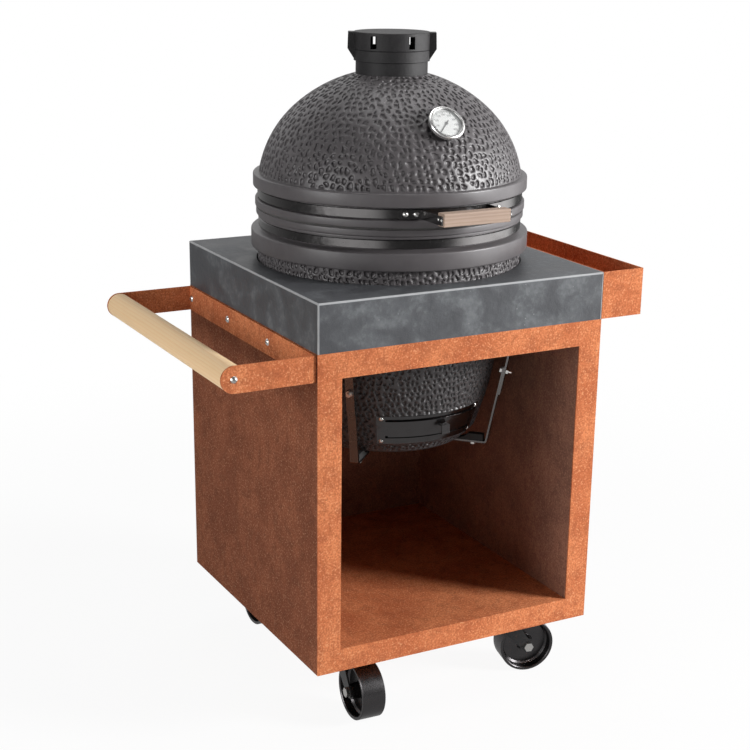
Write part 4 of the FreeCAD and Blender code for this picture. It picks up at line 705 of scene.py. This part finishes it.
def joinPieces(pieces, name):
    deselectAll()
    for piece in pieces:
        piece.select_set(True)
    bpy.context.view_layer.objects.active = pieces[0]
    bpy.ops.object.join()
    joined = bpy.context.object
    joined.name = joined.data.name = name
    return joined


turning = {
    "steps": 360,
    "seam": math.radians(0.5),
    "weld": 0.00002,
}
smoothAngle = math.radians(32)
hair = 0.0001               # slack where places are compared


# A point is extruded along the outline, and the outline is spun round the grill's axis.
# The seam stands half a step round from the side, as the edges of the base's window do.
def turnedPiece(name, spots, closed):
    around = Vector((math.cos(turning["seam"]), math.sin(turning["seam"])))
    places = [Vector((*(axis + around * radius), height)) for radius, height in spots]
    if closed:
        places.append(places[0])
    deselectAll()
    bpy.ops.mesh.primitive_plane_add(size=0.001, location=places[0])
    piece = bpy.context.object
    piece.name = piece.data.name = name
    applyPlace()
    bpy.ops.object.mode_set(mode="EDIT")
    bpy.ops.mesh.select_mode(type="VERT")
    bpy.ops.mesh.select_all(action="SELECT")
    bpy.ops.mesh.merge(type="CENTER")
    for start, end in zip(places, places[1:]):
        bpy.ops.mesh.extrude_vertices_move(TRANSFORM_OT_translate={"value": end - start})
    bpy.ops.mesh.select_all(action="SELECT")
    bpy.ops.mesh.remove_doubles(threshold=turning["weld"])
    bpy.ops.mesh.select_all(action="SELECT")
    bpy.ops.mesh.spin(steps=turning["steps"], angle=math.tau, center=(*axis, 0), axis=(0, 0, 1))
    bpy.ops.mesh.select_all(action="SELECT")
    bpy.ops.mesh.remove_doubles(threshold=turning["weld"])
    bpy.ops.mesh.normals_make_consistent(inside=False)
    return piece


def reachOf(place):
    return (place.xy - axis).length


def smoothStep(value, low, high):
    share = min(1.0, max(0.0, (value - low) / (high - low)))
    return share * share * (3 - 2 * share)


# Middles of the dimples, in rows one rise apart along an outline
def dimpleSeeds(spots, look):
    chance = random.Random(look["seed"])
    seeds = []
    reached = look["rise"] / 2
    for start, end in zip(spots, spots[1:]):
        start, run = Vector(start), Vector(end) - Vector(start)
        while reached < run.length:
            way = run.normalized()
            row = start + way * reached
            count = round(math.tau * row.x / look["pitch"])
            first = chance.random()
            for index in range(count):
                angle = math.tau * (index + first + chance.uniform(-1, 1) * look["jitter"]) / count
                radius, height = row + way * (chance.uniform(-1, 1) * look["jitter"] * look["rise"])
                out = Vector((math.cos(angle), math.sin(angle)))
                across = Vector((-out.y, out.x, 0))
                along = Vector((*(out * way.x), way.y))
                lean = chance.uniform(-1, 1) * look["lean"]
                swell = 1 + chance.uniform(-1, 1) * look["spread"]
                cos, sin = math.cos(lean), math.sin(lean)
                seeds.append({
                    "middle": Vector((*(axis + out * radius), height)),
                    "across": (across * cos + along * sin) / (look["half"][0] * swell),
                    "along": (along * cos - across * sin) / (look["half"][1] * swell),
                    "bend": chance.uniform(-1, 1) * look["bend"],
                })
            reached += look["rise"]
        reached -= run.length
    return seeds


def storeDimples(piece, look, spots, weightAt):
    seeds = dimpleSeeds(spots, look)
    tree = KDTree(len(seeds))
    for index, seed in enumerate(seeds):
        tree.insert(seed["middle"], index)
    tree.balance()

    def measureAt(place, seed):
        away = place - seed["middle"]
        along = away.dot(seed["along"])
        return math.hypot(away.dot(seed["across"]) - seed["bend"] * along * along, along)

    weights = [weightAt(vertex.co) for vertex in piece.data.vertices]
    measures = []
    for vertex, weight in zip(piece.data.vertices, weights):
        if not weight:
            measures.append(1.0)
            continue
        near = tree.find_n(vertex.co, look["nearest"])
        least, second = sorted(measureAt(vertex.co, seeds[index]) for middle, index, gap in near)[:2]
        measures.append(2 * least / (least + second))
    for name, values in (("reliefWeight", weights), ("dimple", measures)):
        kept = piece.data.attributes.new(name, "FLOAT", "POINT")
        kept.data.foreach_set("value", values)


# Presses the dimples into a piece, as deep as its weight attribute says
def pressRelief(piece, look, spots, weightAt):
    storeDimples(piece, look, spots, weightAt)
    tree = bpy.data.node_groups.new("pressDimples", "GeometryNodeTree")
    tree.interface.new_socket("Geometry", in_out="INPUT", socket_type="NodeSocketGeometry")
    tree.interface.new_socket("Geometry", in_out="OUTPUT", socket_type="NodeSocketGeometry")
    graph = Graph(tree)

    def named(name):
        made = graph.node("GeometryNodeInputNamedAttribute", {"data_type": "FLOAT"}, {"Name": name})
        return Value(graph, made.outputs[0])

    place = graph.node("GeometryNodeInputPosition").outputs[0]
    normal = graph.node("GeometryNodeInputNormal").outputs[0]
    height = dimpleHeight(graph, named("dimple"), place, look)[0]
    share = (1 - height) * named("reliefWeight") * -look["depth"]
    whole = graph.node("NodeGroupInput").outputs[0]
    rest = graph.node("GeometryNodeStoreNamedAttribute", {"data_type": "FLOAT_VECTOR"}, {
        "Geometry": whole, "Name": "restPlace", "Value": place})
    offset = graph.node("VectorMath", {"operation": "SCALE"}, {0: normal, "Scale": share})
    pressed = graph.node("GeometryNodeSetPosition", None, {
        "Geometry": rest.outputs[0], "Offset": offset.outputs[0]})
    graph.node("NodeGroupOutput", None, {0: pressed.outputs[0]})
    before = [vertex.co.copy() for vertex in piece.data.vertices]
    press = piece.modifiers.new("press", "NODES")
    press.node_group = tree
    selectOnly(piece)
    bpy.ops.object.modifier_apply(modifier=press.name)
    deepest = max((vertex.co - start).length for vertex, start in zip(piece.data.vertices, before))
    print(piece.name, "pressed up to", round(deepest, 5))


def joinFrame(piece, body, slot, *replaced):
    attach(piece, body)
    if replaced:
        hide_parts(*replaced)


# Glaze all over, raw clay where the test says so
def coatShell(piece, isClay):
    piece.data.materials.append(finishes["grill_ceramic"])
    piece.data.materials.append(rawClay)
    for face in piece.data.polygons:
        face.material_index = 1 if isClay(face) else 0


def countTriangles(piece):
    count = sum(len(face.vertices) - 2 for face in piece.data.polygons)
    print(piece.name, "has", count, "triangles")


# Lid: rim, seat of the band, thick ring, then the dome's shoulder and crown arcs. Radii are from
# the axis, heights and spans from the shell's lower edge, and a point is (radius, height).
lid = {
    "bore": 0.253,
    "rim": 0.286,
    "rimTop": 0.0158,
    "rimRound": 0.002,
    "bandSeat": 0.2775,
    "bandSpan": (0.017, 0.038),
    "underRing": (0.283, 0.040),
    "ring": 0.290,
    "ringSpan": (0.041, 0.0685),
    "ringRounds": (0.0008, 0.0030, 0.0036),
    "ledge": 0.002,
    "shoulder": (0.0487, 0.0313),
    "shoulderRadius": 0.232,
    "crown": (0.0, -0.0228),
    "crownRadius": 0.3048,
    "seat": 0.078,
    "throat": 0.0625,
    "wall": 0.026,
    "clay": 0.270,
    "row": 0.0048,
    "fineRow": 0.0024,
    "fineRadius": 0.135,
    "seatRow": 0.008,
    "innerRow": 0.02,
    "ringFade": 0.006,
    "seatFade": 0.005,
}


def lidShell(look):
    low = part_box("lid_shell")[0].z
    bandLow, bandHigh = (low + height for height in look["bandSpan"])
    ringLow, ringHigh = (low + height for height in look["ringSpan"])
    shoulder, crown = (Vector((x, low + z)) for x, z in (look["shoulder"], look["crown"]))
    shoulderRadius, crownRadius = look["shoulderRadius"], look["crownRadius"]
    ring, seat, throat, wall = look["ring"], look["seat"], look["throat"], look["wall"]

    def onArc(centre, radius, height=None, reach=None):
        if height is not None:
            return (centre.x + math.sqrt(radius ** 2 - (height - centre.y) ** 2), height)
        return (reach, centre.y + math.sqrt(radius ** 2 - (reach - centre.x) ** 2))

    meeting = (shoulder - crown).normalized()
    domeStart = onArc(shoulder, shoulderRadius, height=ringHigh)
    domeMeet = crown + meeting * crownRadius
    domeFine = onArc(crown, crownRadius, reach=look["fineRadius"])
    domeEnd = onArc(crown, crownRadius, reach=seat)
    throatLow = onArc(crown, crownRadius - wall, reach=throat)
    innerMeet = crown + meeting * (crownRadius - wall)
    innerLow = onArc(shoulder, shoulderRadius - wall, height=ringLow)
    underReach, underHeight = look["underRing"]
    underRound, lowRound, highRound = look["ringRounds"]
    spots = rounded([
        (look["bore"], low, 0),
        (look["rim"], low, look["rimRound"]),
        (look["rim"], low + look["rimTop"], look["rimRound"]),
        (look["bandSeat"], bandLow, 0),
        (look["bandSeat"], bandHigh, 0),
        (underReach, low + underHeight, underRound),
        (ring, ringLow, lowRound),
        (ring, ringHigh, highRound),
        (domeStart[0] + look["ledge"], ringHigh, 0)])
    dome = [domeStart]
    dome += arc(shoulder, domeStart, domeMeet, look["row"])
    dome += arc(crown, domeMeet, domeFine, look["row"])
    dome += arc(crown, domeFine, domeEnd, look["fineRow"])
    spots += dome
    spots += straight(domeEnd, (throat, domeEnd[1]), look["seatRow"])
    spots += straight(spots[-1], throatLow, look["innerRow"])
    spots += arc(crown, throatLow, innerMeet, look["innerRow"])
    spots += arc(shoulder, innerMeet, innerLow, look["innerRow"])
    piece = turnedPiece("lid_dome", spots, closed=True)

    def onDome(place, leastReach):
        reach = reachOf(place)
        if place.z < ringHigh + hair or reach < leastReach:
            return False
        centre, radius = (shoulder, shoulderRadius) if reach > domeMeet.x else (crown, crownRadius)
        return (Vector((reach, place.z)) - centre).length > radius - wall / 2

    selectFaces(piece, lambda place: onDome(place, look["fineRadius"]))
    bpy.ops.mesh.subdivide(number_cuts=1)
    selectOnly(piece)
    bpy.ops.object.shade_smooth_by_angle(angle=smoothAngle)

    def weightAt(place):
        if not onDome(place, seat - hair):
            return 0.0
        aboveRing = smoothStep(place.z - ringHigh, 0, look["ringFade"])
        return aboveRing * smoothStep(reachOf(place) - seat, 0, look["seatFade"])

    # The rim's underside, the bore and the dome's inside, but not the vent's seat
    def isClay(face):
        reach, height, upward = reachOf(face.center), face.center.z, face.normal.z
        if height < low + 2 * hair:
            return True
        within = reach < look["bore"] + 2 * hair or (height > ringLow and upward < -0.02)
        return within and reach < look["clay"] and not (upward > 0 and reach > throat)

    coatShell(piece, isClay)
    pressRelief(piece, relief, dome, weightAt)
    joinFrame(piece, "lid", "grill_ceramic", "lid_shell")
    countTriangles(piece)


# Base: foot, cone of the draft door, upper cone, neck, thick ring, seat of the band, lip and rim.
# An inset is measured in from the neck, a height or a span up from the foot.
base = {
    "neck": 0.281,
    "wall": 0.028,
    "flatInset": 0.128,
    "footInset": 0.113,
    "footRound": 0.026,
    "coneInsets": (0.0825, 0.0605),
    "coneSpan": (0.031, 0.099),
    "upperInset": 0.053,
    "upperHeight": 0.130,
    "hiddenDrop": 0.1,      # below the worktop's top: hidden from there up to the neck
    "neckDrop": 0.005,      # below it too
    "ringRise": 0.0285,     # above it
    "ringGap": 0.0005,      # from the dimples to the ring
    "ringOut": 0.014,
    "ringRound": 0.0032,
    "ringThick": 0.037,
    # from the ring's top edge to the lip: out from the neck, up from the ring's top, rounding
    "brim": (
        (0.014, 0.0, 0.0038),
        (-0.001, 0.0025, 0.0008),
        (-0.005, 0.0047, 0),
        (-0.005, 0.0248, 0),
        (-0.0005, 0.0255, 0.0008),
        (-0.0005, 0.0305, 0.0012),
        (-0.0025, 0.0312, 0),
        (0.003, 0.0319, 0.0012),
    ),
    "lipOut": 0.003,
    "lipRound": 0.0016,
    "row": 0.0050,
    "footRow": 0.03,
    "hiddenRow": 0.04,
    "innerRow": 0.05,
    "windowDrop": 0.0015,   # below the middle of the door's frame
    "windowHalf": 0.0165,
    "windowSpan": math.radians(19.5),
    "frameSpan": math.radians(35),
    "frameFade": 0.03,
    "frameHeights": (0.034, 0.040),
    "footFade": (0.006, 0.014),
    "ringFade": 0.004,
    "finerFoot": 0.004,
    "finerBack": 0.03,
    "clayFloor": 0.01,
    "clayDepth": 0.8,       # of the wall
}


def baseShell(look):
    low, high = (corner.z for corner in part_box("base_shell"))
    doorLow, doorHigh = (corner.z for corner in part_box("door_frame"))
    top = worktopSpan[1]
    middle = (doorLow + doorHigh) / 2 - look["windowDrop"]
    windowLow, windowHigh = middle - look["windowHalf"], middle + look["windowHalf"]
    neck, row, wall = look["neck"], look["row"], look["wall"]
    foot, upperFoot = neck - look["footInset"], neck - look["upperInset"]
    coneFoot, coneTop = (neck - inset for inset in look["coneInsets"])
    coneLow, coneHigh = (low + height for height in look["coneSpan"])
    upper, hidden, neckLow = low + look["upperHeight"], top - look["hiddenDrop"], top - look["neckDrop"]
    ringLow = top + look["ringRise"]
    ringHigh = ringLow + look["ringThick"]
    dimplesHigh = ringLow - look["ringGap"]

    def coneReach(height):
        share = (height - coneLow) / (coneHigh - coneLow)
        return coneFoot + (coneTop - coneFoot) * share

    spots = [(0.0, low)]
    spots += straight(spots[-1], (neck - look["flatInset"], low), look["footRow"])
    footArc = rounded([(0, low, 0), (foot, low, look["footRound"]), (coneFoot, coneLow, 0)], 7)
    spots += footArc[1:-1]
    spots += straight(spots[-1], footArc[-1], row)
    for height in (windowLow, windowHigh, coneHigh):
        spots += straight(spots[-1], (coneReach(height), height), row)
    spots += straight(spots[-1], (upperFoot, upper), row)
    share = (hidden - upper) / (neckLow - upper)
    spots += straight(spots[-1], (upperFoot + (neck - upperFoot) * share, hidden), row)
    spots += straight(spots[-1], (neck, neckLow), look["hiddenRow"])
    spots += straight(spots[-1], (neck, dimplesHigh), row)
    outside = list(spots)
    corners = [(neck, ringLow, 0), (neck + look["ringOut"], ringLow, look["ringRound"])]
    corners += [(neck + out, ringHigh + up, rounding) for out, up, rounding in look["brim"]]
    corners += [(neck + look["lipOut"], high, look["lipRound"]), (neck - wall, high, 0)]
    spots += rounded(corners)
    spots += straight(spots[-1], (neck - wall, neckLow), look["hiddenRow"])
    spots += straight(spots[-1], (upperFoot - wall, upper), look["innerRow"])
    spots += straight(spots[-1], (coneReach(coneHigh) - wall, coneHigh), look["innerRow"])
    for height in (windowHigh, windowLow, low + wall):
        spots += straight(spots[-1], (coneReach(height) - wall, height), row)
    spots += straight(spots[-1], (0.0, low + wall), look["innerRow"])
    piece = turnedPiece("base_bowl", spots, closed=False)

    def turnFromFront(place):
        away = place.xy - axis
        return abs(math.atan2(away.x, -away.y))

    def atWindow(place):
        return windowLow < place.z < windowHigh and turnFromFront(place) < look["windowSpan"]

    selectFaces(piece, atWindow)
    bpy.ops.mesh.delete(type="FACE")
    bpy.ops.mesh.select_mode(type="EDGE")
    bpy.ops.mesh.select_all(action="DESELECT")
    bpy.ops.mesh.select_non_manifold(
        extend=False, use_wire=False, use_boundary=True, use_multi_face=False,
        use_non_contiguous=False, use_verts=False)
    bpy.ops.mesh.bridge_edge_loops()

    heights = [spot[1] for spot in outside]

    # The outline's radius at a height, the neck's from there up
    def outerReach(height):
        height = min(height, neckLow)
        above = min(max(bisect(heights, height), 1), len(outside) - 1)
        (reachLow, zLow), (reachHigh, zHigh) = outside[above - 1], outside[above]
        return reachLow + (reachHigh - reachLow) * (height - zLow) / max(zHigh - zLow, 1e-6)

    # Where the dimples show: under the ring, and on the front of what hangs below the worktop
    def dimplesShow(place):
        underRing = neckLow - hair < place.z < dimplesHigh + hair
        hung = low + look["finerFoot"] < place.z < hidden and place.y < axis.y + look["finerBack"]
        return (underRing or hung) and reachOf(place) > outerReach(place.z) - wall / 2

    selectFaces(piece, dimplesShow)
    bpy.ops.mesh.subdivide(number_cuts=1)
    selectOnly(piece)
    bpy.ops.object.shade_smooth_by_angle(angle=smoothAngle)

    def weightAt(place):
        if reachOf(place) < outerReach(place.z) - wall / 2 or place.z > ringLow:
            return 0.0
        aboveFoot = smoothStep(place.z - low, *look["footFade"])
        underRing = smoothStep(ringLow - place.z, 0, look["ringFade"])
        besideFrame = smoothStep(turnFromFront(place) - look["frameSpan"], 0, look["frameFade"])
        overFrame = smoothStep(abs(place.z - middle), *look["frameHeights"])
        return aboveFoot * underRing * max(besideFrame, overFrame)

    def isClay(face):
        deep = reachOf(face.center) < outerReach(face.center.z) - wall * look["clayDepth"]
        return deep and face.center.z > low + look["clayFloor"]

    coatShell(piece, isClay)
    pressRelief(piece, baseRelief, outside, weightAt)
    joinFrame(piece, "cabinet", "grill_ceramic", "base_shell")
    countTriangles(piece)


lidShell(lid)
baseShell(base)


# Screws that hold the lid's wooden handle, two through each arm
handleScrews = {
    "radius": 0.0031,
    "rise": 0.0017,
    "segments": 20,
    "arm": 0.003,
    "behindFront": (0.0055, 0.0165),
}


def screwHeads(look):
    low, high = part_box("lid_handle")
    heads = []
    for across in (low.x - look["arm"], high.x + look["arm"]):
        for behind in look["behindFront"]:
            deselectAll()
            bpy.ops.mesh.primitive_uv_sphere_add(
                segments=look["segments"], ring_count=look["segments"] // 2, radius=look["radius"],
                location=(across, low.y + behind, (low.z + high.z) / 2))
            head = bpy.context.object
            head.scale = (look["rise"] / look["radius"], 1, 1)
            applyPlace()
            heads.append(head)
    screws = joinPieces(heads, "handle_screws")
    bpy.ops.object.shade_smooth_by_angle(angle=smoothAngle)
    screws.data.materials.append(finishes["stainless_bolts"])
    joinFrame(screws, "lid", "stainless_bolts")


screwHeads(handleScrews)
print("handle screws set")


# Thermometer's print: ticks and plain numbers, flat on the dial. A tick is (width, length).
dialPrint = {
    "radius": 0.0295,
    "tick": (0.0007, 0.0028),
    "mainTick": (0.0011, 0.0048),
    "ticksPerNumber": 5,
    "numbers": ("0", "50", "100", "150", "200", "250", "300", "350", "400"),
    "textSize": 0.0062,
    "textInset": 0.0085,
    "sweep": math.radians(270),
    "above": 0.00055,       # over the middle of the dial's plate
}


def dialMarks(look):
    joint = joints["thermometer_needle_turn"]
    facing = Vector(joint["axis"]).normalized()
    low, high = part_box("thermometer_dial")
    side = Vector((1, 0, 0))
    up = facing.cross(side)
    turn = Matrix((side, up, facing)).transposed()
    middle = (low + high) / 2 + facing * look["above"]
    pieces = []

    # Sets the active mark on the dial, at a share of the sweep and an inset from the edge
    def setMark(share, inset, size=None):
        mark = bpy.context.object
        angle = look["sweep"] * (share - 0.5)
        local = Vector((math.sin(angle), math.cos(angle), 0)) * (look["radius"] - inset)
        mark.matrix_world = Matrix.Translation(middle + turn @ local) @ turn.to_4x4()
        if size:
            mark.matrix_world @= Matrix.Rotation(-angle, 4, "Z") @ Matrix.Diagonal((*size, 1, 1))
        applyPlace()
        pieces.append(mark)

    gaps = len(look["numbers"]) - 1
    steps = gaps * look["ticksPerNumber"]
    for index in range(steps + 1):
        width, length = look["tick" if index % look["ticksPerNumber"] else "mainTick"]
        deselectAll()
        bpy.ops.mesh.primitive_plane_add(size=1)
        setMark(index / steps, length / 2, (width, length))
    for index, number in enumerate(look["numbers"]):
        deselectAll()
        bpy.ops.object.text_add()
        text = bpy.context.object.data
        text.body = number
        text.size = look["textSize"]
        text.align_x = text.align_y = "CENTER"
        bpy.ops.object.convert(target="MESH")
        setMark(index / gaps, look["textInset"])
    marks = joinPieces(pieces, "dial_print")
    marks.data.materials.clear()
    marks.data.materials.append(finishes["needle_black"])
    joinFrame(marks, "lid", "needle_black")


dialMarks(dialPrint)
print("dial printed")


# Floor, lamps, world and camera. Mirrored rays see bright strips, placed by their azimuth from
# the front in degrees, to the right positive. A strip's rise is the ray's rise at which its
# light begins, then that at which it is full.
floorLook = {
    "radius": 2.9,
    "sides": 96,
    "colour": (0.88, 0.88, 0.88),
    "nearWhite": 0.93,
    "fade": (0.9, 2.6),
    "mirrored": 0.45,
}
lamps = {
    "key": {"place": (3.9, -3.3, 2.3), "size": 1.6, "power": 360},
    "left": {"place": (-3.7, -0.55, 1.5), "size": 1.8, "power": 62},
    "top": {"place": (0.6, 0.4, 4.2), "size": 2.6, "power": 40},
}
lampAim = (0, 0, 0.7)
room = {
    "ambient": 0.045,
    "mirrored": 0.12,
    "strips": (
        {"azimuth": 68, "reach": 46, "strength": 3.2, "rise": (0.75, 0.25)},
        {"azimuth": -57, "reach": 30, "strength": 1.35, "rise": (0.75, 0.25)},
        {"azimuth": 188, "reach": 60, "strength": 0.2, "rise": (0.75, 0.25)},
        {"azimuth": 165, "reach": 80, "strength": 0.9, "rise": (0.05, 0.3)},
    ),
}


# What the camera sees, through glass too, and what is seen mirrored
def seenShare(graph):
    rays = graph.node("LightPath")
    camera = Value(graph, rays.outputs["Is Camera Ray"])
    glossy = Value(graph, rays.outputs["Is Glossy Ray"])
    through = Value(graph, rays.outputs["Is Transmission Ray"])
    return graph.maths("MAXIMUM", camera, through), glossy


def makeFloor(look):
    deselectAll()
    bpy.ops.mesh.primitive_circle_add(vertices=look["sides"], radius=look["radius"], fill_type="NGON")
    floor = bpy.context.object
    floor.name = "floor"
    material = bpy.data.materials.new("paleFloor")
    material.use_nodes = True
    graph = Graph(material.node_tree)
    seen, mirrored = seenShare(graph)
    away = graph.vector("LENGTH", graph.node("TexCoord").outputs["Object"])
    far = graph.between(away, *look["fade"])
    share = graph.maths("MAXIMUM", seen, mirrored) * (look["nearWhite"] + far * (1 - look["nearWhite"]))
    plain = graph.node("BsdfDiffuse", None, {"Color": look["colour"]})
    white = graph.node("Emission", None, {
        "Color": (1, 1, 1), "Strength": seen + mirrored * look["mirrored"]})
    mixed = graph.node("MixShader", None, {0: share, 1: plain.outputs[0], 2: white.outputs[0]})
    graph.node("OutputMaterial", None, {"Surface": mixed.outputs[0]})
    floor.data.materials.append(material)


def makeLamp(name, look):
    data = bpy.data.lights.new(name, "AREA")
    data.shape = "DISK"
    data.size = look["size"]
    data.energy = look["power"]
    lamp = bpy.data.objects.new(name, data)
    bpy.context.scene.collection.objects.link(lamp)
    lamp.location = look["place"]
    aim = Vector(lampAim) - lamp.location
    lamp.rotation_euler = aim.to_track_quat("-Z", "Y").to_euler()


def makeWorld(look):
    world = bpy.data.worlds.new("studio")
    bpy.context.scene.world = world
    world.use_nodes = True
    graph = Graph(world.node_tree)
    seen, mirrored = seenShare(graph)
    ray = graph.node("TexCoord").outputs["Generated"]
    heading = graph.vector("NORMALIZE", graph.vector("MULTIPLY", ray, (1, 1, 0)))
    rise = Value(graph, graph.node("SeparateXYZ", None, {0: ray}).outputs["Z"])
    strips = look["mirrored"]
    for strip in look["strips"]:
        azimuth, reach = math.radians(strip["azimuth"]), math.radians(strip["reach"])
        toward = (math.sin(azimuth), -math.cos(azimuth), 0)
        facing = graph.vector("DOT_PRODUCT", heading, toward)
        share = graph.between(facing, math.cos(reach), 1.0) * graph.between(rise, *strip["rise"])
        strips = share * strip["strength"] + strips
    strength = seen + (1 - seen) * (mirrored * strips + (1 - mirrored) * look["ambient"])
    sky = graph.node("Background", None, {"Color": (1, 1, 1), "Strength": strength})
    graph.node("OutputWorld", None, {"Surface": sky.outputs[0]})


view = {
    "place": (-1.5274, -2.8812, 1.6275),
    "yaw": math.radians(28.192),
    "pitch": math.radians(18.272),
    "roll": math.radians(-0.763),
    "sensor": 36,
    "lens": 74.34,
    "shift": 0.0719,
    "clip": (0.05, 200),
}


def makeCamera(look):
    data = bpy.data.cameras.new("photoView")
    camera = bpy.data.objects.new("photoView", data)
    bpy.context.scene.collection.objects.link(camera)
    bpy.context.scene.camera = camera
    yaw, pitch, roll = look["yaw"], look["pitch"], look["roll"]
    ahead = Vector((math.sin(yaw) * math.cos(pitch), math.cos(yaw) * math.cos(pitch), -math.sin(pitch)))
    right = Vector((math.cos(yaw), -math.sin(yaw), 0))
    down = ahead.cross(right)
    rolledRight = right * math.cos(roll) + down * math.sin(roll)
    rolledDown = down * math.cos(roll) - right * math.sin(roll)
    turned = Matrix((rolledRight, -rolledDown, -ahead)).transposed()
    camera.matrix_world = Matrix.Translation(look["place"]) @ turned.to_4x4()
    data.sensor_width = look["sensor"]
    data.lens = look["lens"]
    data.shift_y = look["shift"]
    data.clip_start, data.clip_end = look["clip"]


makeFloor(floorLook)
for lampName, lampLook in lamps.items():
    makeLamp(lampName, lampLook)
makeWorld(room)
makeCamera(view)
bpy.context.scene.view_settings.view_transform = "Standard"
print("stage, lamps and camera set")

deselectAll()
